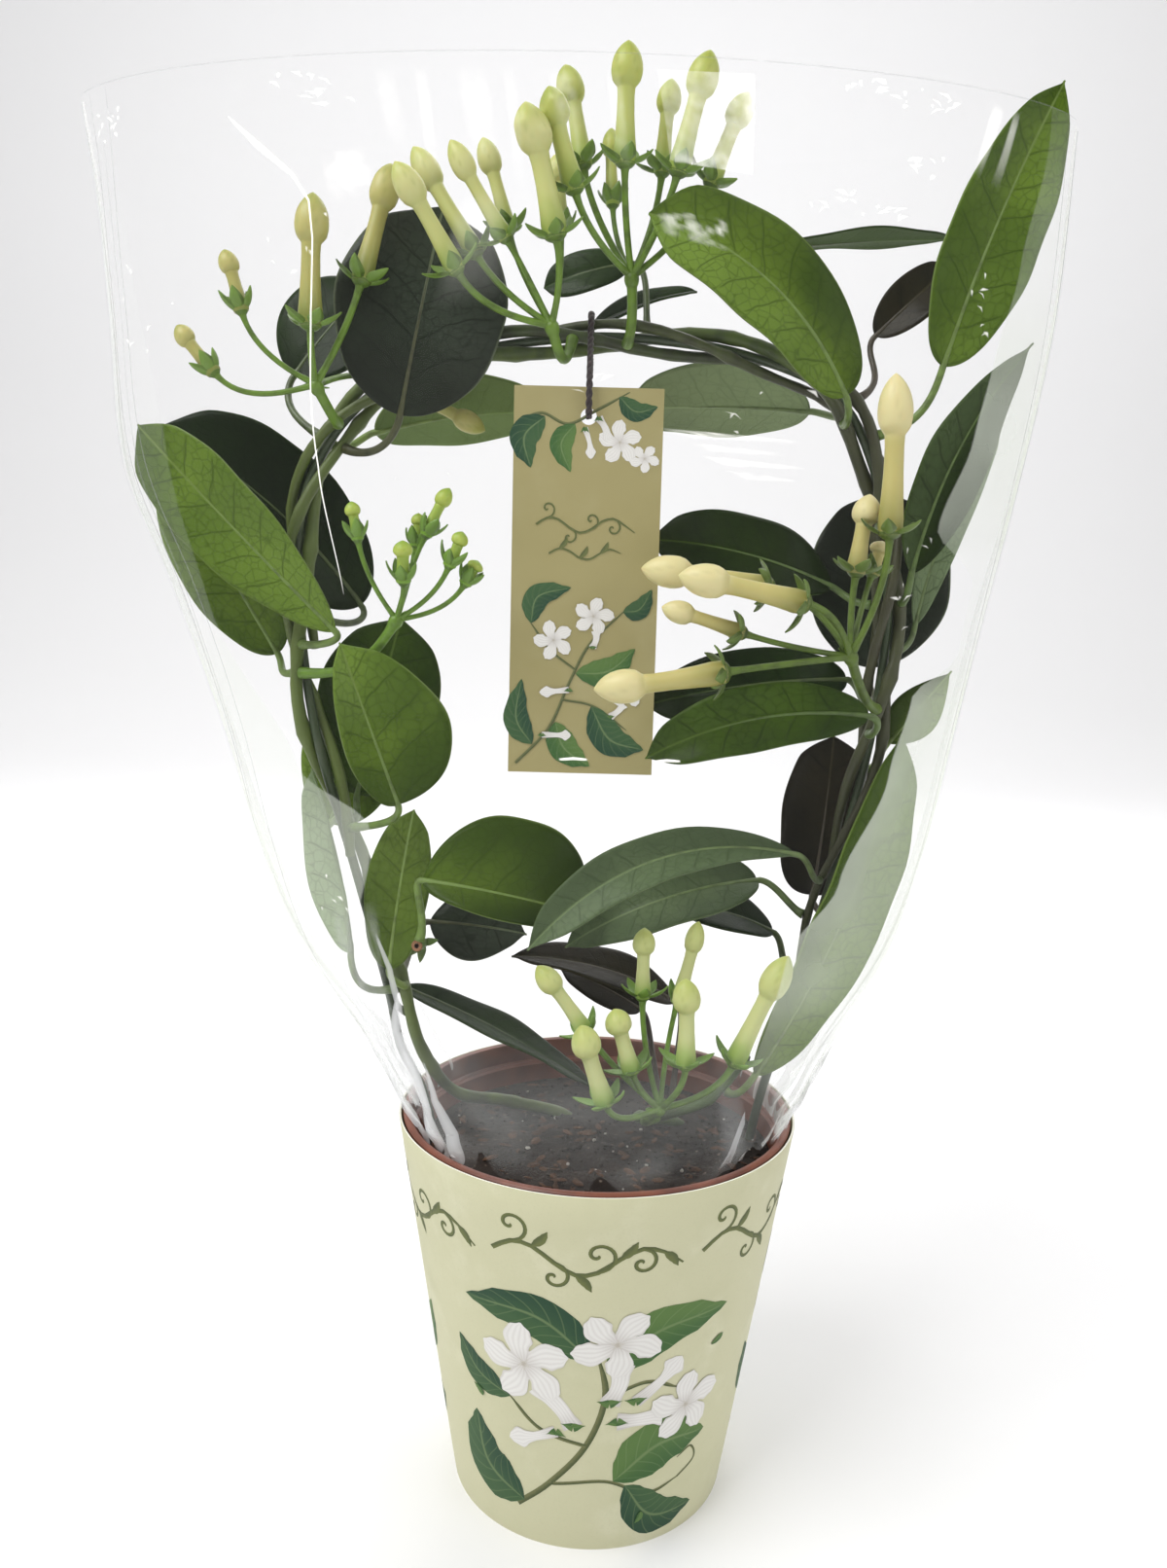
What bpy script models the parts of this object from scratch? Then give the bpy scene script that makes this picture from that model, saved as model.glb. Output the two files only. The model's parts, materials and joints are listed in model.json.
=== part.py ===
"""Potted stephanotis: a flowering vine on a wire hoop, in a pot with a card cover and a film sleeve.

Metres, +Z up. The pot stands on z = 0 with its axis on the origin, and the plant faces -Y.
"""

import math

import bmesh
import bpy
from mathutils import Matrix, Vector
from mathutils.geometry import intersect_point_line

# ---------------------------------------------------------------- driving dimensions
MM = 0.001
SEAT_GAP = 0.0003
WELD_DISTANCE = 0.00001

POT_HEIGHT = 0.1275
POT_LIP_RADIUS = 0.0639
POT_LIP_FOOT_RADIUS = 0.0626
POT_LIP_HEIGHT = 0.0090
POT_BODY_RADIUS = 0.0606
POT_BASE_RADIUS = 0.0425
POT_WALL = 0.0014
POT_STEPS = 40
DRAIN_HOLE_RADIUS = 0.0040
DRAIN_HOLE_CIRCLE = 0.0280
DRAIN_HOLES = 6

COVER_HEIGHT = 0.1270
COVER_TOP_RADIUS = 0.0652
COVER_BASE_RADIUS = 0.0457
COVER_CARD = 0.0009

SOIL_TOP = 0.1145
SOIL_CROWN = 0.0025

HOOP_RADIUS = 0.0015
VINE_RADIUS = 0.0016
VINE_PITCH = 0.110
WINDING_GAP = 0.0008
STEM_BORE = 0.0006

LEAF_THICKNESS = 0.0010
STALK_HALF_WIDTH = 0.0011

SLEEVE_FILM = 0.0003
SLEEVE_STEPS = 32
SLEEVE_TEAR = 0.0055

TAG_WIDTH = 0.0445
TAG_HEIGHT = 0.1155
TAG_CARD = 0.0008
TAG_CENTRE = (-0.0085, -0.0120, 0.2980)
TAG_HOLE_RADIUS = 0.0024
TAG_HOLE_DROP = 0.0085
LOOP_CORD_RADIUS = 0.0011
LOOP_CENTRE_Y = 0.0030
LOOP_CENTRE_Z = 0.3725
LOOP_ARC = (-60, -25, 10, 45, 80, 115, 150, 185)
LOOP_AT_TAG = ((0.0022, 0.012), (0.0028, 0.003), (0.0, 0.0), (-0.0028, 0.003), (-0.0032, 0.012))

# Hoop centre line in mm, from its left foot in the soil, over the top, to its right foot.
HOOP_ROUTE = (
    (-46, 5, 60), (-53, 5, 100), (-58, 4, 127), (-66, 3, 145), (-70, 2, 165), (-82, 1, 210),
    (-93, 0, 250), (-98, 0, 290), (-96, 0, 322), (-82, 1, 348), (-58, 2, 363),
    (-28, 3, 371), (4, 3, 373), (38, 3, 369), (66, 2, 358), (80, 1, 336),
    (86, 0, 306), (86, 0, 272), (81, 1, 235), (73, 2, 200), (64, 3, 165),
    (55, 4, 130), (50, 5, 100), (45, 5, 60),
)

# Vines wound on the hoop: first and last share of the hoop's length, and their side of it in degrees.
VINES = {
    "vine_long": (0.17, 0.87, 160),
    "vine_second": (0.20, 0.88, 40),
    "vine_third": (0.29, 0.84, 280),
}

# Stems that rise from the soil, in mm: one joins the long vine, one crosses the pot on its own.
VINE_LONG_FOOT = ((-3, 16, 92), (-8, 18, 113), (-30, 15, 121), (-48, 8, 127), (-59, 0, 146), (-65, -2, 170))
CUT_SHOOT_ROUTE = ((-61, -4, 180), (-57, -10, 184), (-58, -17, 185))
VINE_CROSS_ROUTE = ((40, 22, 94), (30, 14, 114), (14, 2, 122), (20, -8, 127), (36, -8, 133), (50, -2, 146))

# Sleeve stations in mm: height, left edge, right edge, half depth, and how pointed its side seams are.
SLEEVE_STATIONS = (
    (120.2, -60.6, 60.6, 60.6, 1.0), (128, -61.6, 61.6, 61.4, 1.0), (134, -66, 66, 62, 1.0),
    (152, -76, 75, 61, 1.0), (183, -98, 93, 58, 1.0), (217, -112, 104, 56, 1.0),
    (253, -123, 111, 54, 1.0), (295, -138, 118, 52, 1.0), (330, -152, 124, 50, 1.05),
    (376, -156, 131, 48, 1.1), (414, -159, 134, 46, 1.15), (435.5, -162, 135, 44, 1.2),
)

LEAF_TONES = {
    "bright": (0.075, 0.160, 0.030),
    "light": (0.130, 0.200, 0.060),
    "middle": (0.048, 0.100, 0.022),
    "hazy": (0.110, 0.160, 0.100),
    "dark": (0.018, 0.035, 0.012),
    "black": (0.010, 0.021, 0.014),
    "brown": (0.035, 0.035, 0.020),
}

# Leaves, in mm. via: where the stalk swings out from the vine. base and tip: ends of the blade.
# face: the way the upper side looks. arch: rise of the midrib. fold: rise of the edges. twist: degrees.
# side: sideways bow of the midrib. belly: above 0 the blade is widest nearer its tip, below 0 nearer its base.
# halves: how much of its width the left and right half keep. blunt: below LEAF_BLUNTNESS its ends are rounder.
# tone: its colour in LEAF_TONES.
LEAVES = {
    "leaf_left_crown": dict(via=(-73, -8, 333), base=(-65, -9, 347), tip=(-53, -6, 407), width=50,
                            face=(0.1, -1.0, 0.15), arch=3, fold=3, tone="black"),
    "leaf_left_crown_back": dict(via=(-104, 12, 348), base=(-103, 18, 362), tip=(-80, 26, 392), width=34,
                                 face=(-0.2, -1.0, 0.3), arch=2, fold=2, tone="dark"),
    "leaf_left_under_band": dict(via=(-84, 16, 338), base=(-77, 18, 345), tip=(-22, 20, 353), width=30,
                                 face=(0.1, 0.6, 0.8), arch=3, fold=3, tone="light"),
    "leaf_left_shoulder_back": dict(via=(-90, 10, 281), base=(-83, 24, 290), tip=(-145, 12, 344), width=40,
                                    face=(0.25, -1.0, 0.3), arch=5, fold=4, side=4, tone="dark"),
    "leaf_left_shoulder_mid": dict(via=(-106, 2, 266), base=(-107, 8, 274), tip=(-138, 1, 331), width=28,
                                   face=(0.0, -1.0, 0.0), arch=2, fold=3, tone="middle"),
    "leaf_left_shoulder": dict(via=(-92, -10, 277), base=(-84, -13, 282), tip=(-144, -9, 342), width=27,
                               face=(-0.35, -1.0, 0.1), arch=2, fold=4, belly=0.3, tone="bright"),
    "leaf_left_waist": dict(via=(-69, -12, 222), base=(-64, -18, 230), tip=(-81, -22, 279), width=46,
                            face=(0.15, -1.0, 0.1), arch=3, fold=5, belly=-0.4, halves=(0.4, 1.0),
                            tone="bright"),
    "leaf_left_waist_back": dict(via=(-80, 8, 221), base=(-82, 12, 228), tip=(-68, 14, 286), width=40,
                                 face=(0.0, -1.0, 0.1), arch=2, fold=3, tone="middle"),
    "leaf_left_waist_rear": dict(via=(-92, 12, 218), base=(-92, 17, 217), tip=(-74, 20, 268), width=34,
                                 face=(0.0, -1.0, 0.1), arch=2, fold=2, tone="middle"),
    "leaf_left_knee": dict(via=(-79, -3, 163), base=(-81, -6, 179), tip=(-94, -3, 238), width=21,
                           face=(-0.75, -0.65, 0.0), arch=-2, fold=6, belly=-0.2, tone="hazy"),
    "leaf_left_knee_front": dict(via=(-63, -6, 168), base=(-68, -9, 175), tip=(-61, -4, 226), width=21,
                                 face=(-0.2, -1.0, 0.1), arch=2, fold=3, tone="light"),
    "leaf_low_left_round": dict(via=(-54, -17, 195), base=(-56, -17, 206), tip=(-4, -10, 194), width=50,
                                face=(0.0, -0.9, 0.45), arch=5, fold=3, halves=(1.0, 0.35), tone="bright"),
    "leaf_low_long": dict(via=(66, -6, 206), base=(60, -10, 216), tip=(-23, -29, 188), width=16,
                          face=(-0.1, -0.9, 0.5), arch=8, fold=3, side=11, belly=0.3, tone="hazy"),
    "leaf_low_long_under": dict(via=(62, 6, 194), base=(51, 9, 203), tip=(-12, 3, 180), width=25,
                                face=(0.0, -0.7, 0.7), arch=9, fold=4, belly=-0.3, tone="dark"),
    "leaf_low_right_under": dict(via=(60, 12, 172), base=(58, 15, 184), tip=(24, 12, 193), width=20,
                                 face=(0.0, -0.5, 0.9), arch=3, fold=2, tone="dark"),
    "leaf_low_left_back": dict(via=(-64, 14, 172), base=(-58, 16, 184), tip=(-25, 14, 181), width=26,
                               face=(0.0, -0.8, 0.6), arch=2, fold=2, tone="hazy"),
    "leaf_low_back_twisted": dict(via=(28, 24, 143), base=(26, 20, 157), tip=(-30, 12, 174), width=18,
                                  face=(0.0, -0.6, 0.8), arch=7, fold=2, twist=25, tone="brown"),
    "leaf_low_back_small": dict(via=(18, 32, 138), base=(15, 31, 150), tip=(-14, 24, 167), width=15,
                                face=(0.0, -0.7, 0.7), arch=2, fold=2, tone="brown"),
    "leaf_low_left_narrow": dict(via=(-72, 12, 156), base=(-66, 12, 162), tip=(-1, 2, 132), width=16,
                                 face=(0.1, -0.35, 1.0), arch=3, fold=2, twist=-20, tone="dark"),
    "leaf_right_tip": dict(via=(94, -2, 349), base=(98, -4, 366), tip=(129, -1, 448), width=29,
                           face=(0.15, -1.0, 0.0), arch=3, fold=4, side=-3, belly=-0.3, tone="bright"),
    "leaf_top_arched": dict(via=(69, -9, 347), base=(67, -14, 355), tip=(7, -22, 402), width=31,
                            face=(0.3, -1.0, 0.25), arch=5, fold=3, side=7, belly=0.1, blunt=0.36,
                            tone="bright"),
    "leaf_top_flat_back": dict(via=(52, 14, 384), base=(48, 17, 404), tip=(104, 16, 408), width=18,
                               face=(0.0, 0.05, 1.0), arch=1, fold=1, tone="dark"),
    "leaf_right_crown_small": dict(via=(87, 10, 364), base=(81, 14, 378), tip=(103, 15, 399), width=15,
                                   face=(0.2, -0.9, 0.4), arch=2, fold=3, tone="brown"),
    "leaf_right_under_band": dict(via=(70, 14, 352), base=(62, 18, 355), tip=(3, 24, 355), width=32,
                                  face=(0.0, 0.6, 0.8), arch=2, fold=3, tone="light"),
    "leaf_right_inner_upper": dict(via=(77, 8, 294), base=(70, 10, 300), tip=(12, 12, 313), width=28,
                                   face=(0.0, -0.8, 0.6), arch=5, fold=3, tone="middle"),
    "leaf_right_back_dark": dict(via=(88, 16, 262), base=(86, 18, 274), tip=(89, 21, 331), width=46,
                                 face=(0.0, -1.0, 0.1), arch=2, fold=3, tone="black"),
    "leaf_right_shoulder": dict(via=(92, -4, 296), base=(92, -6, 304), tip=(125, 0, 373), width=22,
                                face=(0.2, -1.0, 0.0), arch=2, fold=3, side=-5, tone="middle"),
    "leaf_right_shoulder_back": dict(via=(96, 6, 280), base=(98, 9, 288), tip=(120, 6, 349), width=16,
                                     face=(0.1, -1.0, 0.0), arch=2, fold=2, side=1, tone="hazy"),
    "leaf_right_inner_front": dict(via=(82, -12, 254), base=(78, -20, 261), tip=(11, -25, 247), width=20,
                                   face=(0.0, -1.0, 0.3), arch=3, fold=3, side=5, tone="middle"),
    "leaf_right_inner_back": dict(via=(82, 9, 264), base=(77, 10, 270), tip=(12, 9, 260), width=23,
                                  face=(0.0, -0.9, 0.4), arch=7, fold=3, tone="dark"),
    "leaf_right_waist_small": dict(via=(88, 6, 242), base=(91, 6, 250), tip=(109, 3, 274), width=14,
                                   face=(0.0, -1.0, 0.2), arch=1, fold=1, tone="middle"),
    "leaf_right_low_long": dict(via=(45, -10, 134), base=(51, -10, 143), tip=(93, -4, 254), width=27,
                                face=(0.5, -1.0, 0.0), arch=3, fold=4, side=5, tone="hazy"),
    "leaf_right_back_brown": dict(via=(76, 12, 190), base=(71, 16, 197), tip=(75, 14, 251), width=26,
                                  face=(0.1, -1.0, 0.0), arch=2, fold=2, tone="brown"),
    "leaf_top_middle_back": dict(via=(8, 12, 386), base=(3, 16, 398), tip=(-24, 20, 391), width=15,
                                 face=(0.0, -1.0, 0.4), arch=2, fold=1, tone="middle"),
    "leaf_top_middle_low": dict(via=(-13, 15, 374), base=(-8, 23, 380), tip=(25, 23, 392), width=13,
                                face=(0.0, -0.5, 0.85), arch=2, fold=2, tone="dark"),
}

FLOWER_TONES = {
    "cream": (0.75, 0.75, 0.42),
    "lime": (0.35, 0.50, 0.10),
}

# Flower heads, in mm: the fork of each head, how its stalk reaches the vine, then its buds.
# Each bud is its calyx, its tip and the radius of its swollen head.
FLOWERS = {
    "flowers_left_top": dict(fork=(-88, -20, 353), via=(-82, -14, 341), tone="cream", buds=(
        ((-116, -24, 355), (-127, -23, 368), 3.2), ((-108, -24, 372), (-113, -23, 389), 3.2),
        ((-88, -26, 368), (-87, -26, 404), 5.4), ((-75, -19, 382), (-67, -14, 416), 4.8))),
    "flowers_top_left": dict(fork=(-20, -16, 372), via=(-16, -12, 358), tone="cream", buds=(
        ((-47, -22, 385), (-64, -28, 412), 4.6), ((-42, -17, 391), (-61, -13, 421), 4.4),
        ((-33, -22, 394), (-49, -25, 419), 3.8), ((-33, -14, 398), (-41, -13, 424), 3.8),
        ((-19, -25, 394), (-28, -29, 428), 5.6), ((-18, -12, 399), (-20, -10, 421), 3.4))),
    "flowers_top_middle": dict(fork=(3, -12, 387), via=(4, -10, 373), tone="cream", buds=(
        ((-14, -20, 408), (-22, -24, 434), 5.0), ((-12, -6, 419), (-18, -3, 448), 4.6),
        ((0, -18, 416), (0, -20, 448), 5.0), ((-3, -4, 409), (-4, 0, 432), 3.0),
        ((11, -8, 417), (13, -8, 443), 4.0), ((15, -18, 414), (23, -20, 446), 5.0),
        ((25, -12, 413), (35, -13, 438), 4.4))),
    "flowers_left_young": dict(fork=(-64, -22, 286), via=(-76, -14, 268), tone="lime", buds=(
        ((-75, -24, 309), (-77, -24, 320), 2.6), ((-56, -18, 311), (-49, -18, 325), 2.8),
        ((-60, -12, 308), (-59, -11, 318), 2.4), ((-61, -28, 297), (-61, -30, 309), 3.2),
        ((-48, -27, 302), (-44, -28, 312), 2.8), ((-44, -21, 297), (-40, -21, 304), 2.8))),
    "flowers_right": dict(fork=(70, -28, 279), via=(77, -18, 264), tone="cream", buds=(
        ((79, -29, 314), (78, -29, 359), 5.6), ((71, -24, 303), (74, -23, 326), 4.6),
        ((77, -18, 303), (80, -17, 313), 3.6), ((55, -36, 294), (18, -38, 301), 5.4),
        ((46, -26, 298), (8, -25, 303), 5.4), ((38, -31, 285), (14, -31, 292), 3.8),
        ((33, -35, 274), (-5, -37, 268), 5.6))),
    "flowers_low": dict(fork=(19, -28, 138), via=(12, -22, 129), tone="cream", buds=(
        ((-4, -26, 161), (-20, -25, 182), 4.2), ((2, -37, 143), (-6, -38, 168), 5.0),
        ((10, -31, 151), (4, -31, 171), 4.6), ((13, -20, 171), (13, -18, 193), 4.0),
        ((24, -18, 169), (30, -16, 195), 3.4), ((26, -33, 154), (25, -34, 182), 4.8),
        ((41, -30, 154), (56, -31, 189), 5.0))),
}

# Shares of a bud's length and its half width there, in mm, from the calyx to the neck of the head.
CALYX_SHAPE = ((0.0, 1.9), (0.08, 3.3))
TUBE_SHAPE = ((0.36, 2.4), (0.68, 2.7))
HEAD_SHAPE = ((0.79, 1.0), (0.89, 0.78), (0.96, 0.34), (1.0, 0.1))
PEDICEL_RADIUS = 0.9
PEDUNCLE_RADIUS = 1.3
FORK_RADIUS = 2.4


# ---------------------------------------------------------------- scene and helpers
def clear_scene():
    for item in list(bpy.data.objects):
        bpy.data.objects.remove(item, do_unlink=True)


def new_collection(name):
    collection = bpy.data.collections.new(name)
    bpy.context.scene.collection.children.link(collection)
    return collection


def make_material(name, colour, roughness, metallic=0.0, alpha=1.0):
    material = bpy.data.materials.new(name)
    material.use_nodes = True
    shader = material.node_tree.nodes["Principled BSDF"]
    shader.inputs["Base Color"].default_value = (*colour, 1.0)
    shader.inputs["Roughness"].default_value = roughness
    shader.inputs["Metallic"].default_value = metallic
    shader.inputs["Alpha"].default_value = alpha
    material.diffuse_color = (*colour, alpha)
    return material


def in_metres(point):
    return Vector(point) * MM


def add_object(name, data, collection, material):
    item = bpy.data.objects.new(name, data)
    collection.objects.link(item)
    item.data.materials.append(material)
    return item


def turned(name, profile, collection, material, steps=POT_STEPS):
    """A body turned about Z from a closed or axis-to-axis profile of (radius, height) pairs."""
    mesh = bpy.data.meshes.new(name)
    points = [(radius, 0.0, height) for radius, height in profile]
    closed = profile[0][0] > 0.0
    edges = [(i, i + 1) for i in range(len(points) - 1)]
    if closed:
        edges.append((len(points) - 1, 0))
    mesh.from_pydata(points, edges, [])
    item = add_object(name, mesh, collection, material)
    screw = item.modifiers.new("Turn", "SCREW")
    screw.axis = "Z"
    screw.steps = steps
    screw.render_steps = steps
    screw.use_merge_vertices = True
    screw.merge_threshold = WELD_DISTANCE
    screw.use_smooth_shade = False
    return item


def smooth_route(points, per_span):
    """Points along a smooth curve through the given ones."""
    ends = [points[0] * 2 - points[1], *points, points[-1] * 2 - points[-2]]
    route = []
    for i in range(1, len(ends) - 2):
        before, start, stop, after = ends[i - 1:i + 3]
        for step in range(per_span):
            t = step / per_span
            route.append(0.5 * (
                start * 2
                + (stop - before) * t
                + (before * 2 - start * 5 + stop * 4 - after) * t ** 2
                + (start * 3 - before - stop * 3 + after) * t ** 3
            ))
    route.append(points[-1].copy())
    return route


def tube(name, route, radii, collection, material, resolution=1, cyclic=False):
    """A round rod along a route. radii is one radius or one for each point."""
    curve = bpy.data.curves.new(name, "CURVE")
    curve.dimensions = "3D"
    curve.resolution_u = 1
    curve.render_resolution_u = 0
    curve.bevel_depth = 1.0
    curve.bevel_resolution = resolution
    curve.use_fill_caps = not cyclic
    spline = curve.splines.new("POLY")
    spline.points.add(len(route) - 1)
    spline.use_cyclic_u = cyclic
    if not isinstance(radii, (list, tuple)):
        radii = [radii] * len(route)
    for point, place, radius in zip(spline.points, route, radii):
        point.co = (*place, 1.0)
        point.radius = radius
    return add_object(name, curve, collection, material)


def as_mesh(item):
    """Swaps a curve object for a mesh object of the same name, with its caps welded on."""
    graph = bpy.context.evaluated_depsgraph_get()
    mesh = bpy.data.meshes.new_from_object(item.evaluated_get(graph))
    shape = bmesh.new()
    shape.from_mesh(mesh)
    bmesh.ops.remove_doubles(shape, verts=shape.verts, dist=WELD_DISTANCE)
    bmesh.ops.recalc_face_normals(shape, faces=shape.faces)
    shape.to_mesh(mesh)
    shape.free()
    name = item.name
    collection = item.users_collection[0]
    material = item.data.materials[0]
    old_curve = item.data
    bpy.data.objects.remove(item, do_unlink=True)
    bpy.data.curves.remove(old_curve)
    mesh.name = name
    mesh.materials.clear()
    return add_object(name, mesh, collection, material)


def combine(item, tool, operation):
    """Joins or cuts item with tool and bakes the result into item's own mesh."""
    modifier = item.modifiers.new("Combine", "BOOLEAN")
    modifier.operation = operation
    modifier.solver = "EXACT"
    modifier.use_self = True
    modifier.object = tool
    graph = bpy.context.evaluated_depsgraph_get()
    mesh = bpy.data.meshes.new_from_object(item.evaluated_get(graph))
    item.modifiers.clear()
    old_mesh = item.data
    item.data = mesh
    bpy.data.meshes.remove(old_mesh)


def add_cutter(item, tool, cutters):
    """Leaves tool as a hidden cutter of item."""
    for collection in list(tool.users_collection):
        collection.objects.unlink(tool)
    cutters.objects.link(tool)
    tool.hide_render = True
    tool.display_type = "WIRE"
    modifier = item.modifiers.new("Cut " + tool.name, "BOOLEAN")
    modifier.operation = "DIFFERENCE"
    modifier.solver = "EXACT"
    modifier.object = tool


# ---------------------------------------------------------------- pot, cover and soil
def ledge_height():
    return POT_HEIGHT - POT_LIP_HEIGHT


def pot_inner_radius(height):
    share = height / ledge_height()
    return POT_BASE_RADIUS + (POT_BODY_RADIUS - POT_BASE_RADIUS) * share - POT_WALL


def make_pot(collection, cutters):
    plastic = make_material("nursery_pot", (0.19, 0.04, 0.02), 0.45)
    floor = POT_WALL
    profile = (
        (0.0, floor),
        (pot_inner_radius(floor), floor),
        (pot_inner_radius(ledge_height()), ledge_height() + POT_WALL),
        (POT_LIP_FOOT_RADIUS - POT_WALL, ledge_height() + POT_WALL),
        (POT_LIP_RADIUS - POT_WALL, POT_HEIGHT),
        (POT_LIP_RADIUS, POT_HEIGHT),
        (POT_LIP_FOOT_RADIUS, ledge_height()),
        (POT_BODY_RADIUS, ledge_height()),
        (POT_BASE_RADIUS, 0.0),
        (0.0, 0.0),
    )
    pot = turned("nursery_pot", profile, collection, plastic)
    drill = bmesh.new()
    for i in range(DRAIN_HOLES):
        angle = math.tau * i / DRAIN_HOLES
        place = Vector((math.cos(angle), math.sin(angle), 0.0)) * DRAIN_HOLE_CIRCLE
        bmesh.ops.create_cone(
            drill, cap_ends=True, segments=12, radius1=DRAIN_HOLE_RADIUS, radius2=DRAIN_HOLE_RADIUS,
            depth=4 * POT_WALL, matrix=Matrix.Translation(place),
        )
    mesh = bpy.data.meshes.new("drain_holes")
    drill.to_mesh(mesh)
    drill.free()
    add_cutter(pot, add_object("drain_holes", mesh, collection, plastic), cutters)
    return pot


def make_cover(collection):
    card = make_material("card_cover", (0.67, 0.66, 0.45), 0.7)
    profile = (
        (COVER_TOP_RADIUS, COVER_HEIGHT),
        (COVER_BASE_RADIUS, 0.0),
        (COVER_BASE_RADIUS - COVER_CARD, 0.0),
        (COVER_TOP_RADIUS - COVER_CARD, COVER_HEIGHT),
    )
    return turned("card_cover", profile, collection, card)


def make_soil(collection, cutters, stems):
    """The root ball of potting soil, bored where the hoop's feet and the stems go in."""
    peat = make_material("potting_soil", (0.05, 0.035, 0.03), 0.95)
    foot = POT_WALL + SEAT_GAP
    rim = pot_inner_radius(SOIL_TOP) - SEAT_GAP
    profile = (
        (0.0, SOIL_TOP + SOIL_CROWN),
        (rim * 0.55, SOIL_TOP + SOIL_CROWN * 0.6),
        (rim, SOIL_TOP),
        (pot_inner_radius(foot) - SEAT_GAP, foot),
        (0.0, foot),
    )
    soil = turned("potting_soil", profile, collection, peat)
    for name, route, radius in stems:
        bore = as_mesh(tube(name + "_bore", route, radius + STEM_BORE, collection, peat, resolution=2))
        add_cutter(soil, bore, cutters)
    return soil


# ---------------------------------------------------------------- hoop and vines
def hoop_route():
    return smooth_route([in_metres(point) for point in HOOP_ROUTE], 2)


def lengths_along(route):
    lengths = [0.0]
    for start, stop in zip(route, route[1:]):
        lengths.append(lengths[-1] + (stop - start).length)
    return lengths


def wound_route(first, last, side):
    """A vine's route around the hoop: it turns once in every VINE_PITCH."""
    route = hoop_route()
    lengths = lengths_along(route)
    reach = HOOP_RADIUS + VINE_RADIUS + WINDING_GAP
    points = []
    for i in range(1, len(route) - 1):
        if not first <= lengths[i] / lengths[-1] <= last:
            continue
        along = (route[i + 1] - route[i - 1]).normalized()
        back = (Vector((0, 1, 0)) - along * along.y).normalized()
        outward = along.cross(back)
        angle = math.radians(side) + math.tau * lengths[i] / VINE_PITCH
        points.append(route[i] + (back * math.cos(angle) + outward * math.sin(angle)) * reach)
    return points


def stem_routes():
    """Every stem that leaves and flowers grow from, as name: (route, radius)."""
    routes = {name: (wound_route(*turns), VINE_RADIUS) for name, turns in VINES.items()}
    foot = smooth_route([in_metres(point) for point in VINE_LONG_FOOT] + routes["vine_long"][0][:1], 3)
    routes["vine_long"] = (foot[:-1] + routes["vine_long"][0], VINE_RADIUS)
    cross = smooth_route([in_metres(point) for point in VINE_CROSS_ROUTE], 4)
    routes["vine_cross"] = (cross, VINE_RADIUS)
    shoot = [in_metres(point) for point in CUT_SHOOT_ROUTE]
    shoot.insert(0, seat_on_stem(routes, shoot[0], SEAT_GAP))
    routes["cut_side_shoot"] = (smooth_route(shoot, 3), VINE_RADIUS)
    return routes


def make_stems(collection):
    wire = make_material("hoop_wire", (0.03, 0.035, 0.03), 0.5)
    as_mesh(tube("hoop_wire", hoop_route(), HOOP_RADIUS, collection, wire))
    for name, (route, radius) in stem_routes().items():
        bark = make_material(name, (0.07, 0.12, 0.03), 0.55)
        as_mesh(tube(name, route, radius, collection, bark))


def seat_on_stem(stems, via, clearance):
    """The point where a stalk that comes from via meets the nearest stem, clearance off its side."""
    best = None
    for route, radius in stems.values():
        for start, stop in zip(route, route[1:]):
            place, share = intersect_point_line(via, start, stop)
            place = start.lerp(stop, min(max(share, 0.0), 1.0))
            distance = (via - place).length
            if best is None or distance < best[0]:
                best = (distance, place, radius)
    _, place, radius = best
    return place + (via - place).normalized() * (radius + clearance)


def bent_stalk(start, via, stop, arrival, steps):
    """Points of a stalk that swings out to via and arrives at stop along arrival."""
    before = stop - arrival.normalized() * (stop - via).length * 0.5
    points = []
    for i in range(steps + 1):
        t = i / steps
        r = 1 - t
        points.append(start * r ** 3 + via * 3 * r * r * t + before * 3 * r * t * t + stop * t ** 3)
    return points


# ---------------------------------------------------------------- leaves
STALK_ROWS = 4
LEAF_BLUNTNESS = 0.52
BLADE_ROWS = (0.08, 0.2, 0.36, 0.52, 0.68, 0.83, 0.94, 1.0)


def leaf_half_width(spec, share):
    """Half the blade's width at a share of its length: broad and oblong, with a short point."""
    belly = spec.get("belly", 0)
    share = share ** (1 + belly) if belly > 0 else 1 - (1 - share) ** (1 - belly)
    body = max(4 * share * (1 - share), 0.0) ** spec.get("blunt", LEAF_BLUNTNESS)
    return max(spec["width"] * MM / 2 * body, 0.0004)


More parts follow.
